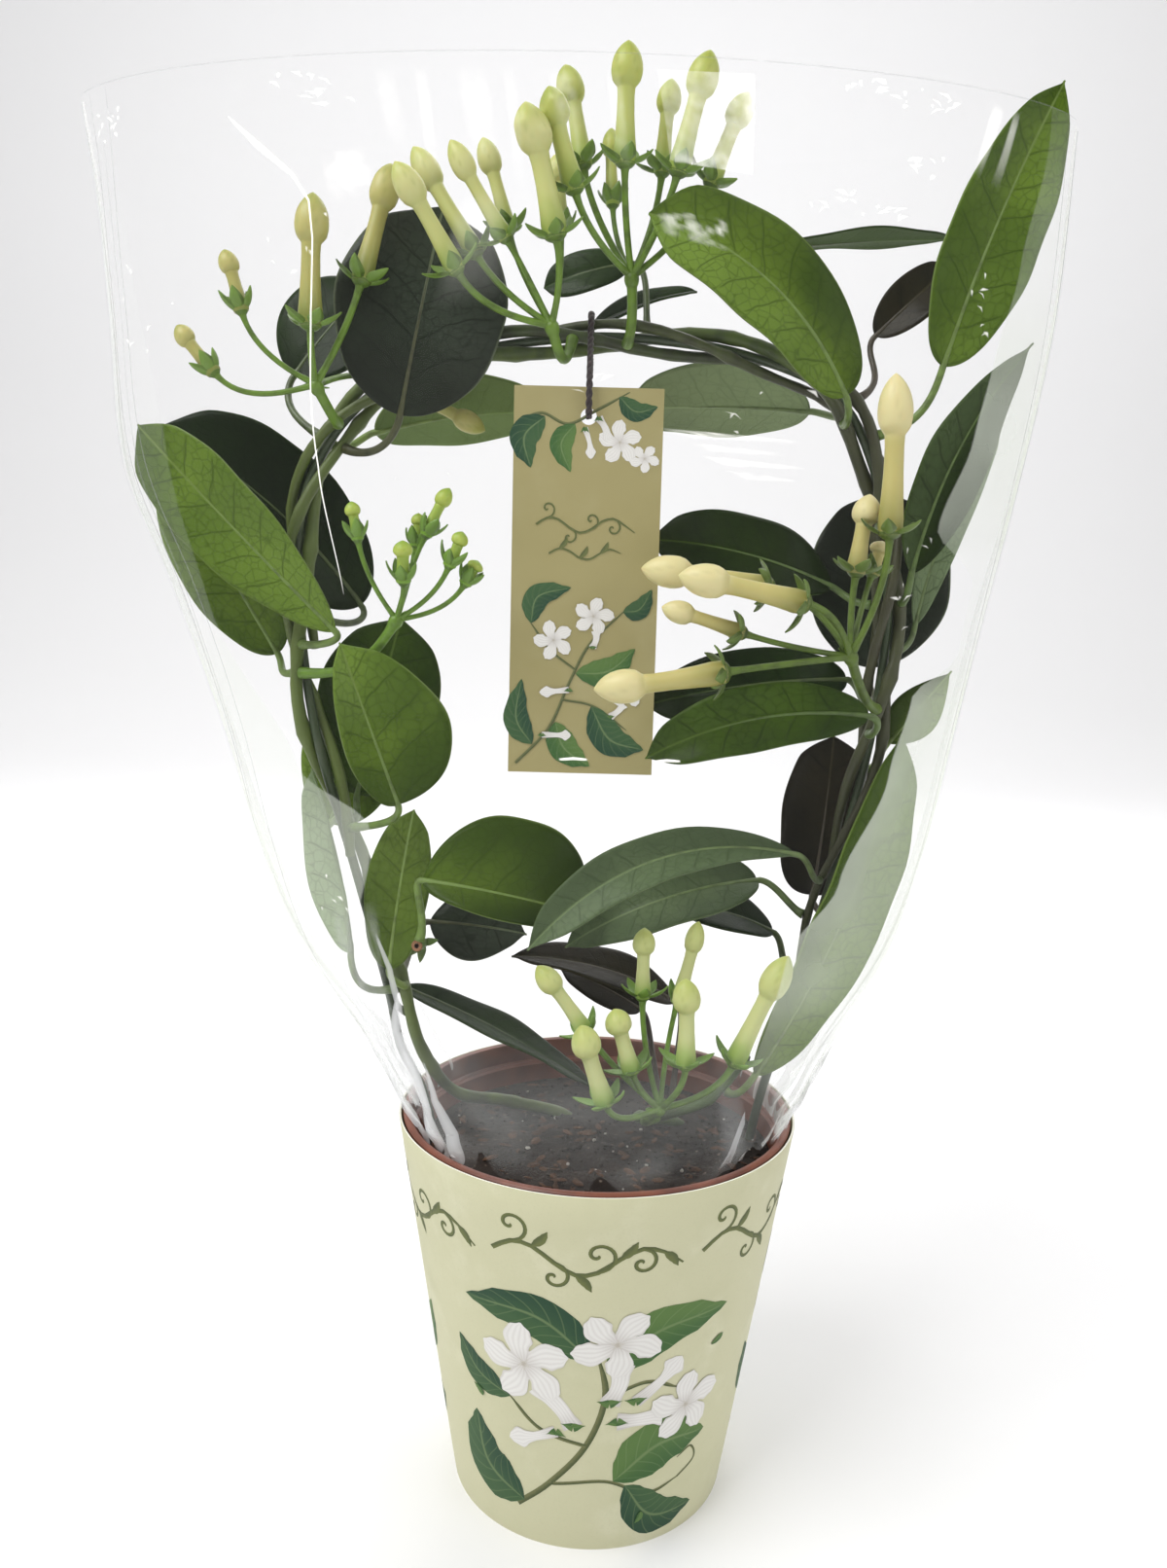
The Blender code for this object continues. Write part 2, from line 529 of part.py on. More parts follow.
def leaf_rows(spec, stems):
    """The rows of a leaf from its foot on the stem to its tip, each as three points across."""
    via = in_metres(spec["via"])
    base = in_metres(spec["base"])
    tip = in_metres(spec["tip"])
    face = Vector(spec["face"]).normalized()
    axis = (tip - base).normalized()
    face = (face - axis * face.dot(axis)).normalized()
    sideways = axis.cross(face)
    bow = face * 2 * spec["arch"] * MM + sideways * 2 * spec.get("side", 0) * MM
    control = (base + tip) / 2 + bow
    foot = seat_on_stem(stems, via, SEAT_GAP)
    stalk = bent_stalk(foot, via, base, control - base, STALK_ROWS)
    blade = [base * (1 - u) ** 2 + control * 2 * u * (1 - u) + tip * u * u for u in BLADE_ROWS]
    line = stalk + blade
    tangents = []
    for i in range(len(line)):
        tangents.append((line[min(i + 1, len(line) - 1)] - line[max(i - 1, 0)]).normalized())
    sides = [None] * len(line)
    start = len(stalk) - 1
    sides[start] = tangents[start].cross(face).normalized()
    for i in list(range(start + 1, len(line))) + list(range(start - 1, -1, -1)):
        last = sides[i - 1] if i > start else sides[i + 1]
        sides[i] = (last - tangents[i] * last.dot(tangents[i])).normalized()
    rows = []
    for i, (point, along, side) in enumerate(zip(line, tangents, sides)):
        half = STALK_HALF_WIDTH
        fold = 0.0
        if i > start:
            share = BLADE_ROWS[i - start - 1]
            half = leaf_half_width(spec, share)
            fold = spec["fold"] * MM * min(1.0, 2 * half / (spec["width"] * MM))
            side = Matrix.Rotation(math.radians(spec.get("twist", 0)) * share, 3, along) @ side
        up = side.cross(along)
        left, right = (half * part for part in spec.get("halves", (1.0, 1.0))) if i > start else (half, half)
        rows.append((point - side * left + up * fold, point, point + side * right + up * fold))
    return rows


def make_leaf(name, spec, stems, collection, material):
    rows = leaf_rows(spec, stems)
    shape = bmesh.new()
    bmesh.ops.create_grid(shape, x_segments=2, y_segments=len(rows) - 1, size=1.0)
    for vertex in shape.verts:
        row = round((vertex.co.y + 1) / 2 * (len(rows) - 1))
        column = round(vertex.co.x + 1)
        vertex.co = rows[row][column]
    mesh = bpy.data.meshes.new(name)
    shape.to_mesh(mesh)
    shape.free()
    leaf = add_object(name, mesh, collection, material)
    solid = leaf.modifiers.new("Thickness", "SOLIDIFY")
    solid.thickness = LEAF_THICKNESS
    solid.offset = 0.0
    return leaf


def make_leaves(stems, collection):
    for name, spec in LEAVES.items():
        make_leaf(name, spec, stems, collection, make_material(name, LEAF_TONES[spec["tone"]], 0.35))


# ---------------------------------------------------------------- flowers
def bud_route(fork, calyx, tip):
    """Points and half widths in metres of one pedicel with its bud, from the fork to the tip."""
    span = tip - calyx
    before = calyx - span.normalized() * (calyx - fork).length * 0.45
    points = []
    for t in (0.0, 0.35, 0.7):
        r = 1 - t
        points.append(fork * r * r + before * 2 * r * t + calyx * t * t)
    return points


def make_bud(name, fork, calyx, tip, head, collection, material):
    points = bud_route(fork, calyx, tip)
    radii = [PEDICEL_RADIUS * MM] * len(points)
    slim = min(1.0, head / 5.0)
    for share, radius in CALYX_SHAPE + TUBE_SHAPE:
        points.append(calyx.lerp(tip, share))
        radii.append(radius * slim * MM)
    for share, part in HEAD_SHAPE:
        points.append(calyx.lerp(tip, share))
        radii.append(head * part * MM)
    return as_mesh(tube(name, points, radii, collection, material))


def make_knot(name, fork, collection, material):
    shape = bmesh.new()
    bmesh.ops.create_icosphere(
        shape, subdivisions=2, radius=FORK_RADIUS * MM, matrix=Matrix.Translation(fork)
    )
    mesh = bpy.data.meshes.new(name)
    shape.to_mesh(mesh)
    shape.free()
    return add_object(name, mesh, collection, material)


def make_flower_head(name, spec, stems, collection, material):
    """One umbel: its peduncle, its pedicels and its buds grown together."""
    fork = in_metres(spec["fork"])
    via = in_metres(spec["via"])
    foot = seat_on_stem(stems, via, SEAT_GAP)
    stalk = bent_stalk(foot, via, fork, fork - via, 5)
    head = as_mesh(tube(name, stalk, PEDUNCLE_RADIUS * MM, collection, material))
    pieces = [make_knot(name + "_knot", fork, collection, material)]
    for i, (calyx, tip, swell) in enumerate(spec["buds"]):
        calyx = in_metres(calyx)
        root = fork + (calyx - fork).normalized() * 0.3 * FORK_RADIUS * MM
        pieces.append(make_bud(f"{name}_{i + 1}", root, calyx, in_metres(tip), swell, collection, material))
    for piece in pieces:
        combine(head, piece, "UNION")
        bpy.data.objects.remove(piece, do_unlink=True)
    return head


def make_flowers(stems, collection):
    for name, spec in FLOWERS.items():
        make_flower_head(name, spec, stems, collection, make_material(name, FLOWER_TONES[spec["tone"]], 0.45))


# ---------------------------------------------------------------- sleeve, tag and loop
def sleeve_tear(angle):
    """How far the torn lower edge is cut up at an angle around the sleeve, as a share of the tear."""
    return max(0.0, 0.5 * math.sin(7 * angle + 0.6) + 0.5 * math.sin(11 * angle + 2.0))


def make_sleeve(collection):
    film = make_material("clear_sleeve", (0.9, 0.92, 0.92), 0.1, alpha=0.2)
    rows = len(SLEEVE_STATIONS) - 1
    shape = bmesh.new()
    bmesh.ops.create_grid(shape, x_segments=SLEEVE_STEPS, y_segments=rows, size=1.0)
    for vertex in shape.verts:
        row = round((vertex.co.y + 1) / 2 * rows)
        angle = math.tau * round((vertex.co.x + 1) / 2 * SLEEVE_STEPS) / SLEEVE_STEPS
        height, left, right, depth, point = SLEEVE_STATIONS[row]
        wave = math.sin(angle)
        x = (left + right) / 2 + (right - left) / 2 * math.cos(angle)
        y = math.copysign(abs(wave) ** point, wave) * depth
        vertex.co = Vector((x, y, height)) * MM
        if row == 0:
            vertex.co.z += SLEEVE_TEAR * sleeve_tear(angle)
    bmesh.ops.remove_doubles(shape, verts=shape.verts, dist=WELD_DISTANCE)
    mesh = bpy.data.meshes.new("clear_sleeve")
    shape.to_mesh(mesh)
    shape.free()
    sleeve = add_object("clear_sleeve", mesh, collection, film)
    solid = sleeve.modifiers.new("Thickness", "SOLIDIFY")
    solid.thickness = SLEEVE_FILM
    solid.offset = 0.0
    return sleeve


def make_tag(collection, cutters):
    card = make_material("hang_tag", (0.39, 0.34, 0.15), 0.7)
    bpy.ops.mesh.primitive_cube_add(size=1.0)
    tag = bpy.context.active_object
    tag.name = "hang_tag"
    tag.data.name = "hang_tag"
    tag.data.materials.append(card)
    tag.scale = (TAG_WIDTH, TAG_CARD, TAG_HEIGHT)
    tag.location = TAG_CENTRE
    for holder in list(tag.users_collection):
        holder.objects.unlink(tag)
    collection.objects.link(tag)
    drill = bmesh.new()
    hole = Vector(TAG_CENTRE) + Vector((0, 0, TAG_HEIGHT / 2 - TAG_HOLE_DROP))
    bmesh.ops.create_cone(
        drill, cap_ends=True, segments=16, radius1=TAG_HOLE_RADIUS, radius2=TAG_HOLE_RADIUS,
        depth=6 * TAG_CARD, matrix=Matrix.Translation(hole) @ Matrix.Rotation(math.pi / 2, 4, "X"),
    )
    mesh = bpy.data.meshes.new("tag_hole")
    drill.to_mesh(mesh)
    drill.free()
    add_cutter(tag, add_object("tag_hole", mesh, collection, card), cutters)
    return tag


def loop_route():
    """The tag's loop: through the hole, up both sides of the hoop and its vines, and over them."""
    x, y, z = TAG_CENTRE
    hole = z + TAG_HEIGHT / 2 - TAG_HOLE_DROP
    ring = HOOP_RADIUS + 2 * VINE_RADIUS + 4 * SEAT_GAP + LOOP_CORD_RADIUS
    points = []
    for degrees in LOOP_ARC:
        angle = math.radians(degrees)
        across = LOOP_CENTRE_Y + ring * math.cos(angle)
        points.append(Vector((x, across, LOOP_CENTRE_Z + ring * math.sin(angle))))
    for forward, rise in LOOP_AT_TAG:
        points.append(Vector((x, y - forward, hole + rise)))
    return points


def make_loop(collection):
    cord = make_material("tag_loop", (0.03, 0.02, 0.03), 0.8)
    as_mesh(tube("tag_loop", loop_route(), LOOP_CORD_RADIUS, collection, cord, cyclic=True))


# ---------------------------------------------------------------- the whole object
def main():
    clear_scene()
    plant = new_collection("potted_stephanotis")
    cutters = new_collection("cutters")
    stems = stem_routes()
    make_pot(plant, cutters)
    make_cover(plant)
    rooted = [("hoop_wire", hoop_route(), HOOP_RADIUS)]
    rooted += [(name, stems[name][0], stems[name][1]) for name in ("vine_long", "vine_cross")]
    make_soil(plant, cutters, rooted)
    make_stems(plant)
    make_leaves(stems, plant)
    make_flowers(stems, plant)
    make_sleeve(plant)
    make_tag(plant, cutters)
    make_loop(plant)


main()
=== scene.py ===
import json
import math
import random

import bmesh
import bpy
from mathutils import Matrix, Vector, noise
from mathutils.geometry import intersect_point_line

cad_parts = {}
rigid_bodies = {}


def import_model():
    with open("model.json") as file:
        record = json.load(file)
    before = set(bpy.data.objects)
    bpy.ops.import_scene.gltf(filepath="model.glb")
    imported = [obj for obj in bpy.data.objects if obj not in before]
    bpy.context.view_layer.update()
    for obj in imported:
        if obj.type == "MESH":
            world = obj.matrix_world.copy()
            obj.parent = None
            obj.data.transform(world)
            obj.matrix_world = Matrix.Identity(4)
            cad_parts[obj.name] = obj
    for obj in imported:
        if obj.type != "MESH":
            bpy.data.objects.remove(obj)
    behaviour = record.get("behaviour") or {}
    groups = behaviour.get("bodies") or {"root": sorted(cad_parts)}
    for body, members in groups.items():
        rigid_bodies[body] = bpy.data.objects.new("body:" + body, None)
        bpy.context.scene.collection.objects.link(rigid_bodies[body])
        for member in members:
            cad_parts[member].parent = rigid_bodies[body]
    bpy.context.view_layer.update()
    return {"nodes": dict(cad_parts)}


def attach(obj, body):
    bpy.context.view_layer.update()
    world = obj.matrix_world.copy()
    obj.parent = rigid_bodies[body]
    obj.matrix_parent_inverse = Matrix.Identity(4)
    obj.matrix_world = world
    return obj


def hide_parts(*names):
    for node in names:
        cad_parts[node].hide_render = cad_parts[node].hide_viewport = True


mm = 0.001
scene = bpy.context.scene
for leftOver in list(bpy.data.objects):
    bpy.data.objects.remove(leftOver, do_unlink=True)
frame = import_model()
print("frame loaded:", len(frame["nodes"]), "parts")


class Wire:  # a socket of a finish, so that sums on it read as plain Python
    def __init__(self, finish, socket):
        self.finish = finish
        self.socket = socket

    def __add__(self, other):
        return self.finish.maths("ADD", self, other)

    def __radd__(self, other):
        return self.finish.maths("ADD", other, self)

    def __sub__(self, other):
        return self.finish.maths("SUBTRACT", self, other)

    def __rsub__(self, other):
        return self.finish.maths("SUBTRACT", other, self)

    def __mul__(self, other):
        return self.finish.maths("MULTIPLY", self, other)

    __rmul__ = __mul__

    def __abs__(self):
        return self.finish.maths("ABSOLUTE", self)


class Finish:  # one material: its nodes are made with node(), and its sums with Wire
    def __init__(self, name, **fixed):
        self.material = bpy.data.materials.new(name)
        self.material.use_nodes = True
        self.tree = self.material.node_tree
        self.shader = self.tree.nodes["Principled BSDF"]
        for words, value in fixed.items():
            self.feed(self.shader.inputs[words.replace("_", " ")], value)

    def feed(self, socket, value):
        if isinstance(value, Wire):
            self.tree.links.new(value.socket, socket)
        elif socket.type == "RGBA" and len(value) == 3:
            socket.default_value = (*value, 1.0)
        else:
            socket.default_value = value

    def node(self, kind, settings=None, sockets=None, out=0):
        made = self.tree.nodes.new(kind)
        for key, value in (settings or {}).items():
            if key == "stops":
                ramp = made.color_ramp
                while len(ramp.elements) < len(value):
                    ramp.elements.new(1.0)
                for element, (place, colour) in zip(ramp.elements, value):
                    element.position = place
                    element.color = (*colour, 1.0)
            else:
                setattr(made, key, value)
        for key, value in (sockets or {}).items():
            self.feed(made.inputs[key], value)
        return Wire(self, made.outputs[out])

    def maths(self, operation, *values, clamp=False):
        settings = {"operation": operation, "use_clamp": clamp}
        return self.node("ShaderNodeMath", settings, dict(enumerate(values)))

    def mix(self, first, second, share):
        return self.node("ShaderNodeMix", {"data_type": "RGBA"}, {0: share, 6: first, 7: second}, out=2)

    def place(self):
        return self.node("ShaderNodeTexCoord", out=3)

    def noise(self, scale, detail=3.0, rough=0.5):
        sockets = {"Vector": self.place(), "Scale": scale, "Detail": detail, "Roughness": rough}
        return self.node("ShaderNodeTexNoise", {}, sockets)

    def step(self, value, low, high):
        settings = {"interpolation_type": "SMOOTHSTEP", "clamp": True}
        return self.node("ShaderNodeMapRange", settings, {0: value, 1: low, 2: high, 3: 0.0, 4: 1.0})

    def marks(self, name):  # the three numbers that a mesh carries at each point
        both = self.node("ShaderNodeAttribute", {"attribute_name": name}, out=1)
        axes = [self.node("ShaderNodeSeparateXYZ", {}, {0: both}, out=i) for i in range(3)]
        return both, axes

    def bump(self, height, strength, distance):
        sockets = {"Height": height, "Strength": strength, "Distance": distance}
        return self.node("ShaderNodeBump", {}, sockets)

    def paint(self, **looks):
        for words, value in looks.items():
            self.feed(self.shader.inputs[words.replace("_", " ")], value)
        return self


class Room(Finish):  # the light from all round, made of the same nodes
    def __init__(self, name):
        scene.world = bpy.data.worlds.new(name)
        scene.world.use_nodes = True
        self.tree = scene.world.node_tree
        self.shader = self.tree.nodes["Background"]


class Pile:  # points, faces, finish numbers and three marks a point, gathered for one mesh
    def __init__(self):
        self.points = []
        self.faces = []
        self.inks = []
        self.marks = []

    def grid(self, rows, marks=None, ink=0, around=False, capped=False):
        start = len(self.points)
        count = len(rows[0])
        for r, row in enumerate(rows):
            for c, point in enumerate(row):
                self.points.append(tuple(point))
                self.marks.append(tuple(marks[r][c]) if marks else (0.0, 0.0, 0.0))
        for r in range(len(rows) - 1):
            for c in range(count if around else count - 1):
                n = (c + 1) % count
                a = start + r * count
                b = a + count
                self.faces.append((a + c, a + n, b + n, b + c))
                self.inks.append(ink)
        if capped:
            last = start + (len(rows) - 1) * count
            self.faces.append(tuple(start + c for c in reversed(range(count))))
            self.faces.append(tuple(last + c for c in range(count)))
            self.inks += [ink, ink]

    def mesh(self, name, closed=True):
        made = bpy.data.meshes.new(name)
        made.from_pydata(self.points, [], self.faces)
        made.polygons.foreach_set("material_index", self.inks)
        layer = made.attributes.new("marks", "FLOAT_VECTOR", "POINT")
        layer.data.foreach_set("vector", [number for three in self.marks for number in three])
        made.polygons.foreach_set("use_smooth", [True] * len(made.polygons))
        if closed:
            shape = bmesh.new()
            shape.from_mesh(made)
            bmesh.ops.recalc_face_normals(shape, faces=shape.faces)
            shape.to_mesh(made)
            shape.free()
        made.update()
        return made


def joinedMesh(pile, name, gap):  # a mesh whose points nearer than gap become one
    mesh = pile.mesh(name)
    weld = bmesh.new()
    weld.from_mesh(mesh)
    bmesh.ops.remove_doubles(weld, verts=weld.verts, dist=gap)
    bmesh.ops.recalc_face_normals(weld, faces=weld.faces)
    weld.to_mesh(mesh)
    weld.free()
    return mesh


def titleOf(name):  # vine_long becomes vineLong
    first, *rest = name.split("_")
    return first + "".join(word.title() for word in rest)


def addPiece(name, mesh, finishes, stands=(), smoothAngle=None):
    piece = bpy.data.objects.new(name, mesh)
    scene.collection.objects.link(piece)
    for finish in finishes:
        mesh.materials.append(finish.material)
    if smoothAngle is not None:
        mesh.set_sharp_from_angle(angle=math.radians(smoothAngle))
    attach(piece, "root")
    if stands:
        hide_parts(*stands)
    return piece


def toned(colour, times, more=0.0):  # a lighter or darker version of a colour
    return tuple(times * v + more for v in colour)


def aimed(side, up, angle):  # from side towards up by an angle
    return side * math.cos(angle) + up * math.sin(angle)


def metres(point):
    return Vector(point) * mm


def smoothRoute(points, perSpan):  # a smooth curve through the given points
    ends = [points[0] * 2 - points[1], *points, points[-1] * 2 - points[-2]]
    route = []
    for i in range(1, len(ends) - 2):
        before, start, stop, after = ends[i - 1:i + 3]
        for step in range(perSpan):
            t = step / perSpan
            route.append(0.5 * (
                start * 2
                + (stop - before) * t
                + (before * 2 - start * 5 + stop * 4 - after) * t ** 2
                + (start * 3 - before - stop * 3 + after) * t ** 3
            ))
    route.append(points[-1].copy())
    return route


def lengthsAlong(route):
    lengths = [0.0]
    for start, stop in zip(route, route[1:]):
        lengths.append(lengths[-1] + (stop - start).length)
    return lengths


def directions(route):
    last = len(route) - 1
    return [(route[min(i + 1, last)] - route[max(i - 1, 0)]).normalized() for i in range(last + 1)]


def carried(start, along):  # a sideways direction carried along a route without turning about it
    sides = [(start - along[0] * start.dot(along[0])).normalized()]
    for tangent in along[1:]:
        sides.append((sides[-1] - tangent * sides[-1].dot(tangent)).normalized())
    return sides


def rings(route, radii, sides):  # circles along a route, for a rod or stalk
    along = directions(route)
    across = carried(along[0].orthogonal(), along)
    rows = []
    for point, tangent, side, radius in zip(route, along, across, radii):
        up = tangent.cross(side)
        rows.append([point + aimed(side, up, math.tau * k / sides) * radius for k in range(sides)])
    return rows


def between(value, low, high):  # 0 up to low, 1 from high on, and straight between them
    return min(1.0, max(0.0, (value - low) / (high - low)))


def hump(value, middle, spread):
    return math.exp(-((value - middle) / spread) ** 2)


def curveAt(table, share):  # a value read off a table of (share, value), eased between its lines
    if share <= table[0][0]:
        return table[0][1]
    for (s0, v0), (s1, v1) in zip(table, table[1:]):
        if share <= s1:
            t = (share - s0) / (s1 - s0)
            return v0 + (v1 - v0) * t * t * (3 - 2 * t)
    return table[-1][1]


view = {  # the camera, in metres and degrees
    "place": (-0.0072, -0.390, 0.294),
    "lens": 37.95,  # for a 36 mm wide frame
    "down": 8.6,
    "lean": 1.5,
}


def setCamera():
    camera = bpy.data.cameras.new("portraitCamera")
    camera.sensor_fit = "HORIZONTAL"
    camera.sensor_width = 36.0
    camera.lens = view["lens"]
    camera.clip_start = 0.01
    holder = bpy.data.objects.new("portraitCamera", camera)
    scene.collection.objects.link(holder)
    tilt = Matrix.Rotation(math.radians(90 - view["down"]), 4, "X")
    lean = Matrix.Rotation(math.radians(view["lean"]), 4, "Z")
    holder.matrix_world = Matrix.Translation(view["place"]) @ (tilt @ lean)
    scene.camera = holder


light = {"room": (1.0, 0.99, 0.975), "overhead": 0.85, "sideways": 0.58, "front": 0.24}
windows = {  # place and size in metres, power, and the place that each is turned to
    "windowLight": ((-0.75, -0.55, 1.35), (1.0, 0.7), 15.0, (0.0, 0.0, 0.25)),
    "fillLight": ((1.1, -0.8, 0.9), (0.9, 0.9), 4.0, (0.0, 0.0, 0.25)),
    "backLight": ((0.3, 1.0, 1.3), (1.4, 0.8), 7.0, (0.0, 0.0, 0.25)),
    "wallLight": ((0.0, 0.8, 1.7), (3.0, 0.5), 21.0, (0.0, 2.45, 0.9)),
}


def addWindow(name, place, size, power, aim):
    lamp = bpy.data.lights.new(name, "AREA")
    lamp.shape = "RECTANGLE"
    lamp.size, lamp.size_y = size
    lamp.energy = power
    holder = bpy.data.objects.new(name, lamp)
    scene.collection.objects.link(holder)
    holder.location = place
    holder.rotation_euler = (Vector(aim) - Vector(place)).to_track_quat("-Z", "Y").to_euler()


def setLight():
    room = Room("studioRoom")
    place = room.node("ShaderNodeTexCoord")
    away, up = [room.node("ShaderNodeSeparateXYZ", {}, {0: place}, out=i) for i in (1, 2)]
    more = light["overhead"] - light["sideways"]
    above = room.node("ShaderNodeMapRange", {}, {0: up, 1: -0.1, 2: 0.8, 3: 0.0, 4: more})
    sockets = {0: away, 1: -0.7, 2: 0.1, 3: light["front"], 4: light["sideways"]}
    room.paint(Strength=above + room.node("ShaderNodeMapRange", {}, sockets), Color=light["room"])
    for name, words in windows.items():
        addWindow(name, *words)
    scene.view_settings.view_transform = "Standard"
    scene.view_settings.look = "None"


floor = {
    "halfWidth": 3.0, "nearEdge": -2.5, "bend": 1.6, "bendRadius": 0.9, "top": 3.2,
    "white": (0.86, 0.86, 0.87),
}


def addFloor():
    profile = [(floor["nearEdge"], 0.0), (floor["bend"], 0.0)]
    for i in range(1, 13):
        angle = math.radians(90 * i / 12)
        run = floor["bend"] + floor["bendRadius"] * math.sin(angle)
        profile.append((run, floor["bendRadius"] * (1 - math.cos(angle))))
    profile.append((floor["bend"] + floor["bendRadius"], floor["top"]))
    rows = [[(x * floor["halfWidth"] / 4, y, z) for x in range(-4, 5)] for y, z in profile]
    pile = Pile()
    pile.grid(rows)
    paper = Finish("paleFloor", Roughness=0.75)
    grain = paper.noise(3.0, 4.0)
    paper.paint(Base_Color=paper.mix(floor["white"], toned(floor["white"], 0.985), grain))
    sweepFloor = bpy.data.objects.new("paleFloor", pile.mesh("paleFloor", closed=False))
    sweepFloor.data.materials.append(paper.material)
    scene.collection.objects.link(sweepFloor)


setCamera()
setLight()
addFloor()
print("camera, light and floor done")


pot = {  # metres
    "height": 0.1275, "lipRadius": 0.0639, "lipFootRadius": 0.0626, "lipHeight": 0.0090,
    "bodyRadius": 0.0606, "baseRadius": 0.0425, "wall": 0.0014, "lipWall": 0.0024,
    "brown": (0.21, 0.058, 0.027), "dark": (0.10, 0.024, 0.013), "dust": (0.16, 0.085, 0.060),
    "drainRadius": 0.0040, "drainCircle": 0.0280, "drains": 6,
}


def potFinish():
    plastic = Finish("potPlastic", Coat_Weight=0.15, Coat_Roughness=0.3)
    mottle = plastic.noise(70.0, 4.0)
    height = plastic.node("ShaderNodeSeparateXYZ", {}, {0: plastic.place()}, out=2)
    soiled = plastic.step(plastic.noise(160.0, 5.0) - (height - 0.112) * 30, 0.35, 0.75)
    colour = plastic.mix(pot["brown"], pot["dark"], plastic.step(mottle, 0.35, 0.75))
    colour = plastic.mix(colour, pot["dust"], soiled * 0.55)
    grain = plastic.noise(900.0, 2.0)
    plastic.paint(
        Base_Color=colour, Roughness=0.36 + mottle * 0.16 + soiled * 0.2,
        Normal=plastic.bump(grain + mottle * 2, 0.12, 0.0004),
    )
    return plastic


def turnedRows(profile, steps):
    return [
        [(r * math.cos(math.tau * k / steps), r * math.sin(math.tau * k / steps), z) for k in range(steps)]
        for r, z in profile
    ]


def addPot(plastic):
    wall = pot["wall"]
    ledge = pot["height"] - pot["lipHeight"]
    top = pot["height"]
    lip = pot["lipRadius"]
    inner = lip - pot["lipWall"]
    foot, body, base = pot["lipFootRadius"], pot["bodyRadius"], pot["baseRadius"]
    profile = [
        (base - 0.0007, 0.0), (base, 0.0008), (body - 0.0002, ledge - 0.0005), (foot - 0.0004, ledge),
        (foot, ledge + 0.0006), (lip - 0.0001, top - 0.0010), (lip, top - 0.0006),
        (lip - 0.0004, top - 0.0001), (lip - 0.0008, top), (inner + 0.0006, top),
        (inner + 0.0001, top - 0.0003), (inner - 0.0002, top - 0.0012),
        (foot - wall, ledge + wall + 0.0006), (foot - wall - 0.0008, ledge + wall),
        (body - wall + 0.0006, ledge + wall), (body - wall - 0.0002, ledge + wall - 0.0008),
    ]
    for share in (0.8, 0.6, 0.4, 0.2):  # the inner wall down to the floor
        flare = (body - base) * share
        profile.append((base + flare - wall, ledge * share))
    profile += [(base - wall, wall + 0.0008), (base - wall - 0.0008, wall)]
    profile += [(0.0002, wall), (0.0002, 0.0)]
    rows = turnedRows(profile, 128)
    pile = Pile()
    pile.grid(rows + rows[:1], around=True)
    mesh = joinedMesh(pile, "potShell", 0.00005)
    shell = addPiece("potShell", mesh, [plastic], ["nursery_pot"], 35)
    drill = bmesh.new()
    for i in range(pot["drains"]):
        angle = math.tau * i / pot["drains"]
        spot = Vector((math.cos(angle), math.sin(angle), 0.0)) * pot["drainCircle"]
        bmesh.ops.create_cone(
            drill, cap_ends=True, segments=24, radius1=pot["drainRadius"], radius2=pot["drainRadius"],
            depth=4 * wall, matrix=Matrix.Translation(spot),
        )
    tool = bpy.data.meshes.new("potDrains")
    drill.to_mesh(tool)
    drill.free()
    cutter = bpy.data.objects.new("potDrains", tool)
    scene.collection.objects.link(cutter)
    cut = shell.modifiers.new("Drains", "BOOLEAN")
    cut.operation = "DIFFERENCE"
    cut.solver = "EXACT"
    cut.object = cutter
    graph = bpy.context.evaluated_depsgraph_get()
    drained = bpy.data.meshes.new_from_object(shell.evaluated_get(graph))
    shell.modifiers.clear()
    shell.data = drained
    bpy.data.objects.remove(cutter, do_unlink=True)


cover = {  # the printed card round the pot, in metres
    "height": 0.1270, "topRadius": 0.0652, "baseRadius": 0.0457, "card": 0.0007,
    "cream": (0.605, 0.595, 0.395), "aged": (0.51, 0.51, 0.31), "pale": (0.74, 0.73, 0.55),
    "cut": (0.86, 0.85, 0.76), "lapFrom": 78, "lapWidth": 14,
}


def coverRadius(height):
    return cover["baseRadius"] + (cover["topRadius"] - cover["baseRadius"]) * height / cover["height"]


def cardFinish(name, cream, aged, pale):
    card = Finish(name, Specular_IOR_Level=0.35)
    clouds = card.noise(28.0, 5.0, rough=0.6)
    fibres = card.noise(1400.0, 2.0)
    colour = card.mix(cream, aged, card.step(clouds, 0.42, 0.8) * 0.5)
    colour = card.mix(colour, pale, card.step(card.noise(60.0, 6.0), 0.5, 0.85) * 0.55)
    card.paint(
        Base_Color=card.mix(colour, toned(cream, 0.93), card.step(fibres, 0.5, 0.8) * 0.5),
        Roughness=0.5 + fibres * 0.14, Normal=card.bump(fibres + clouds, 0.10, 0.0002),
    )
    return card


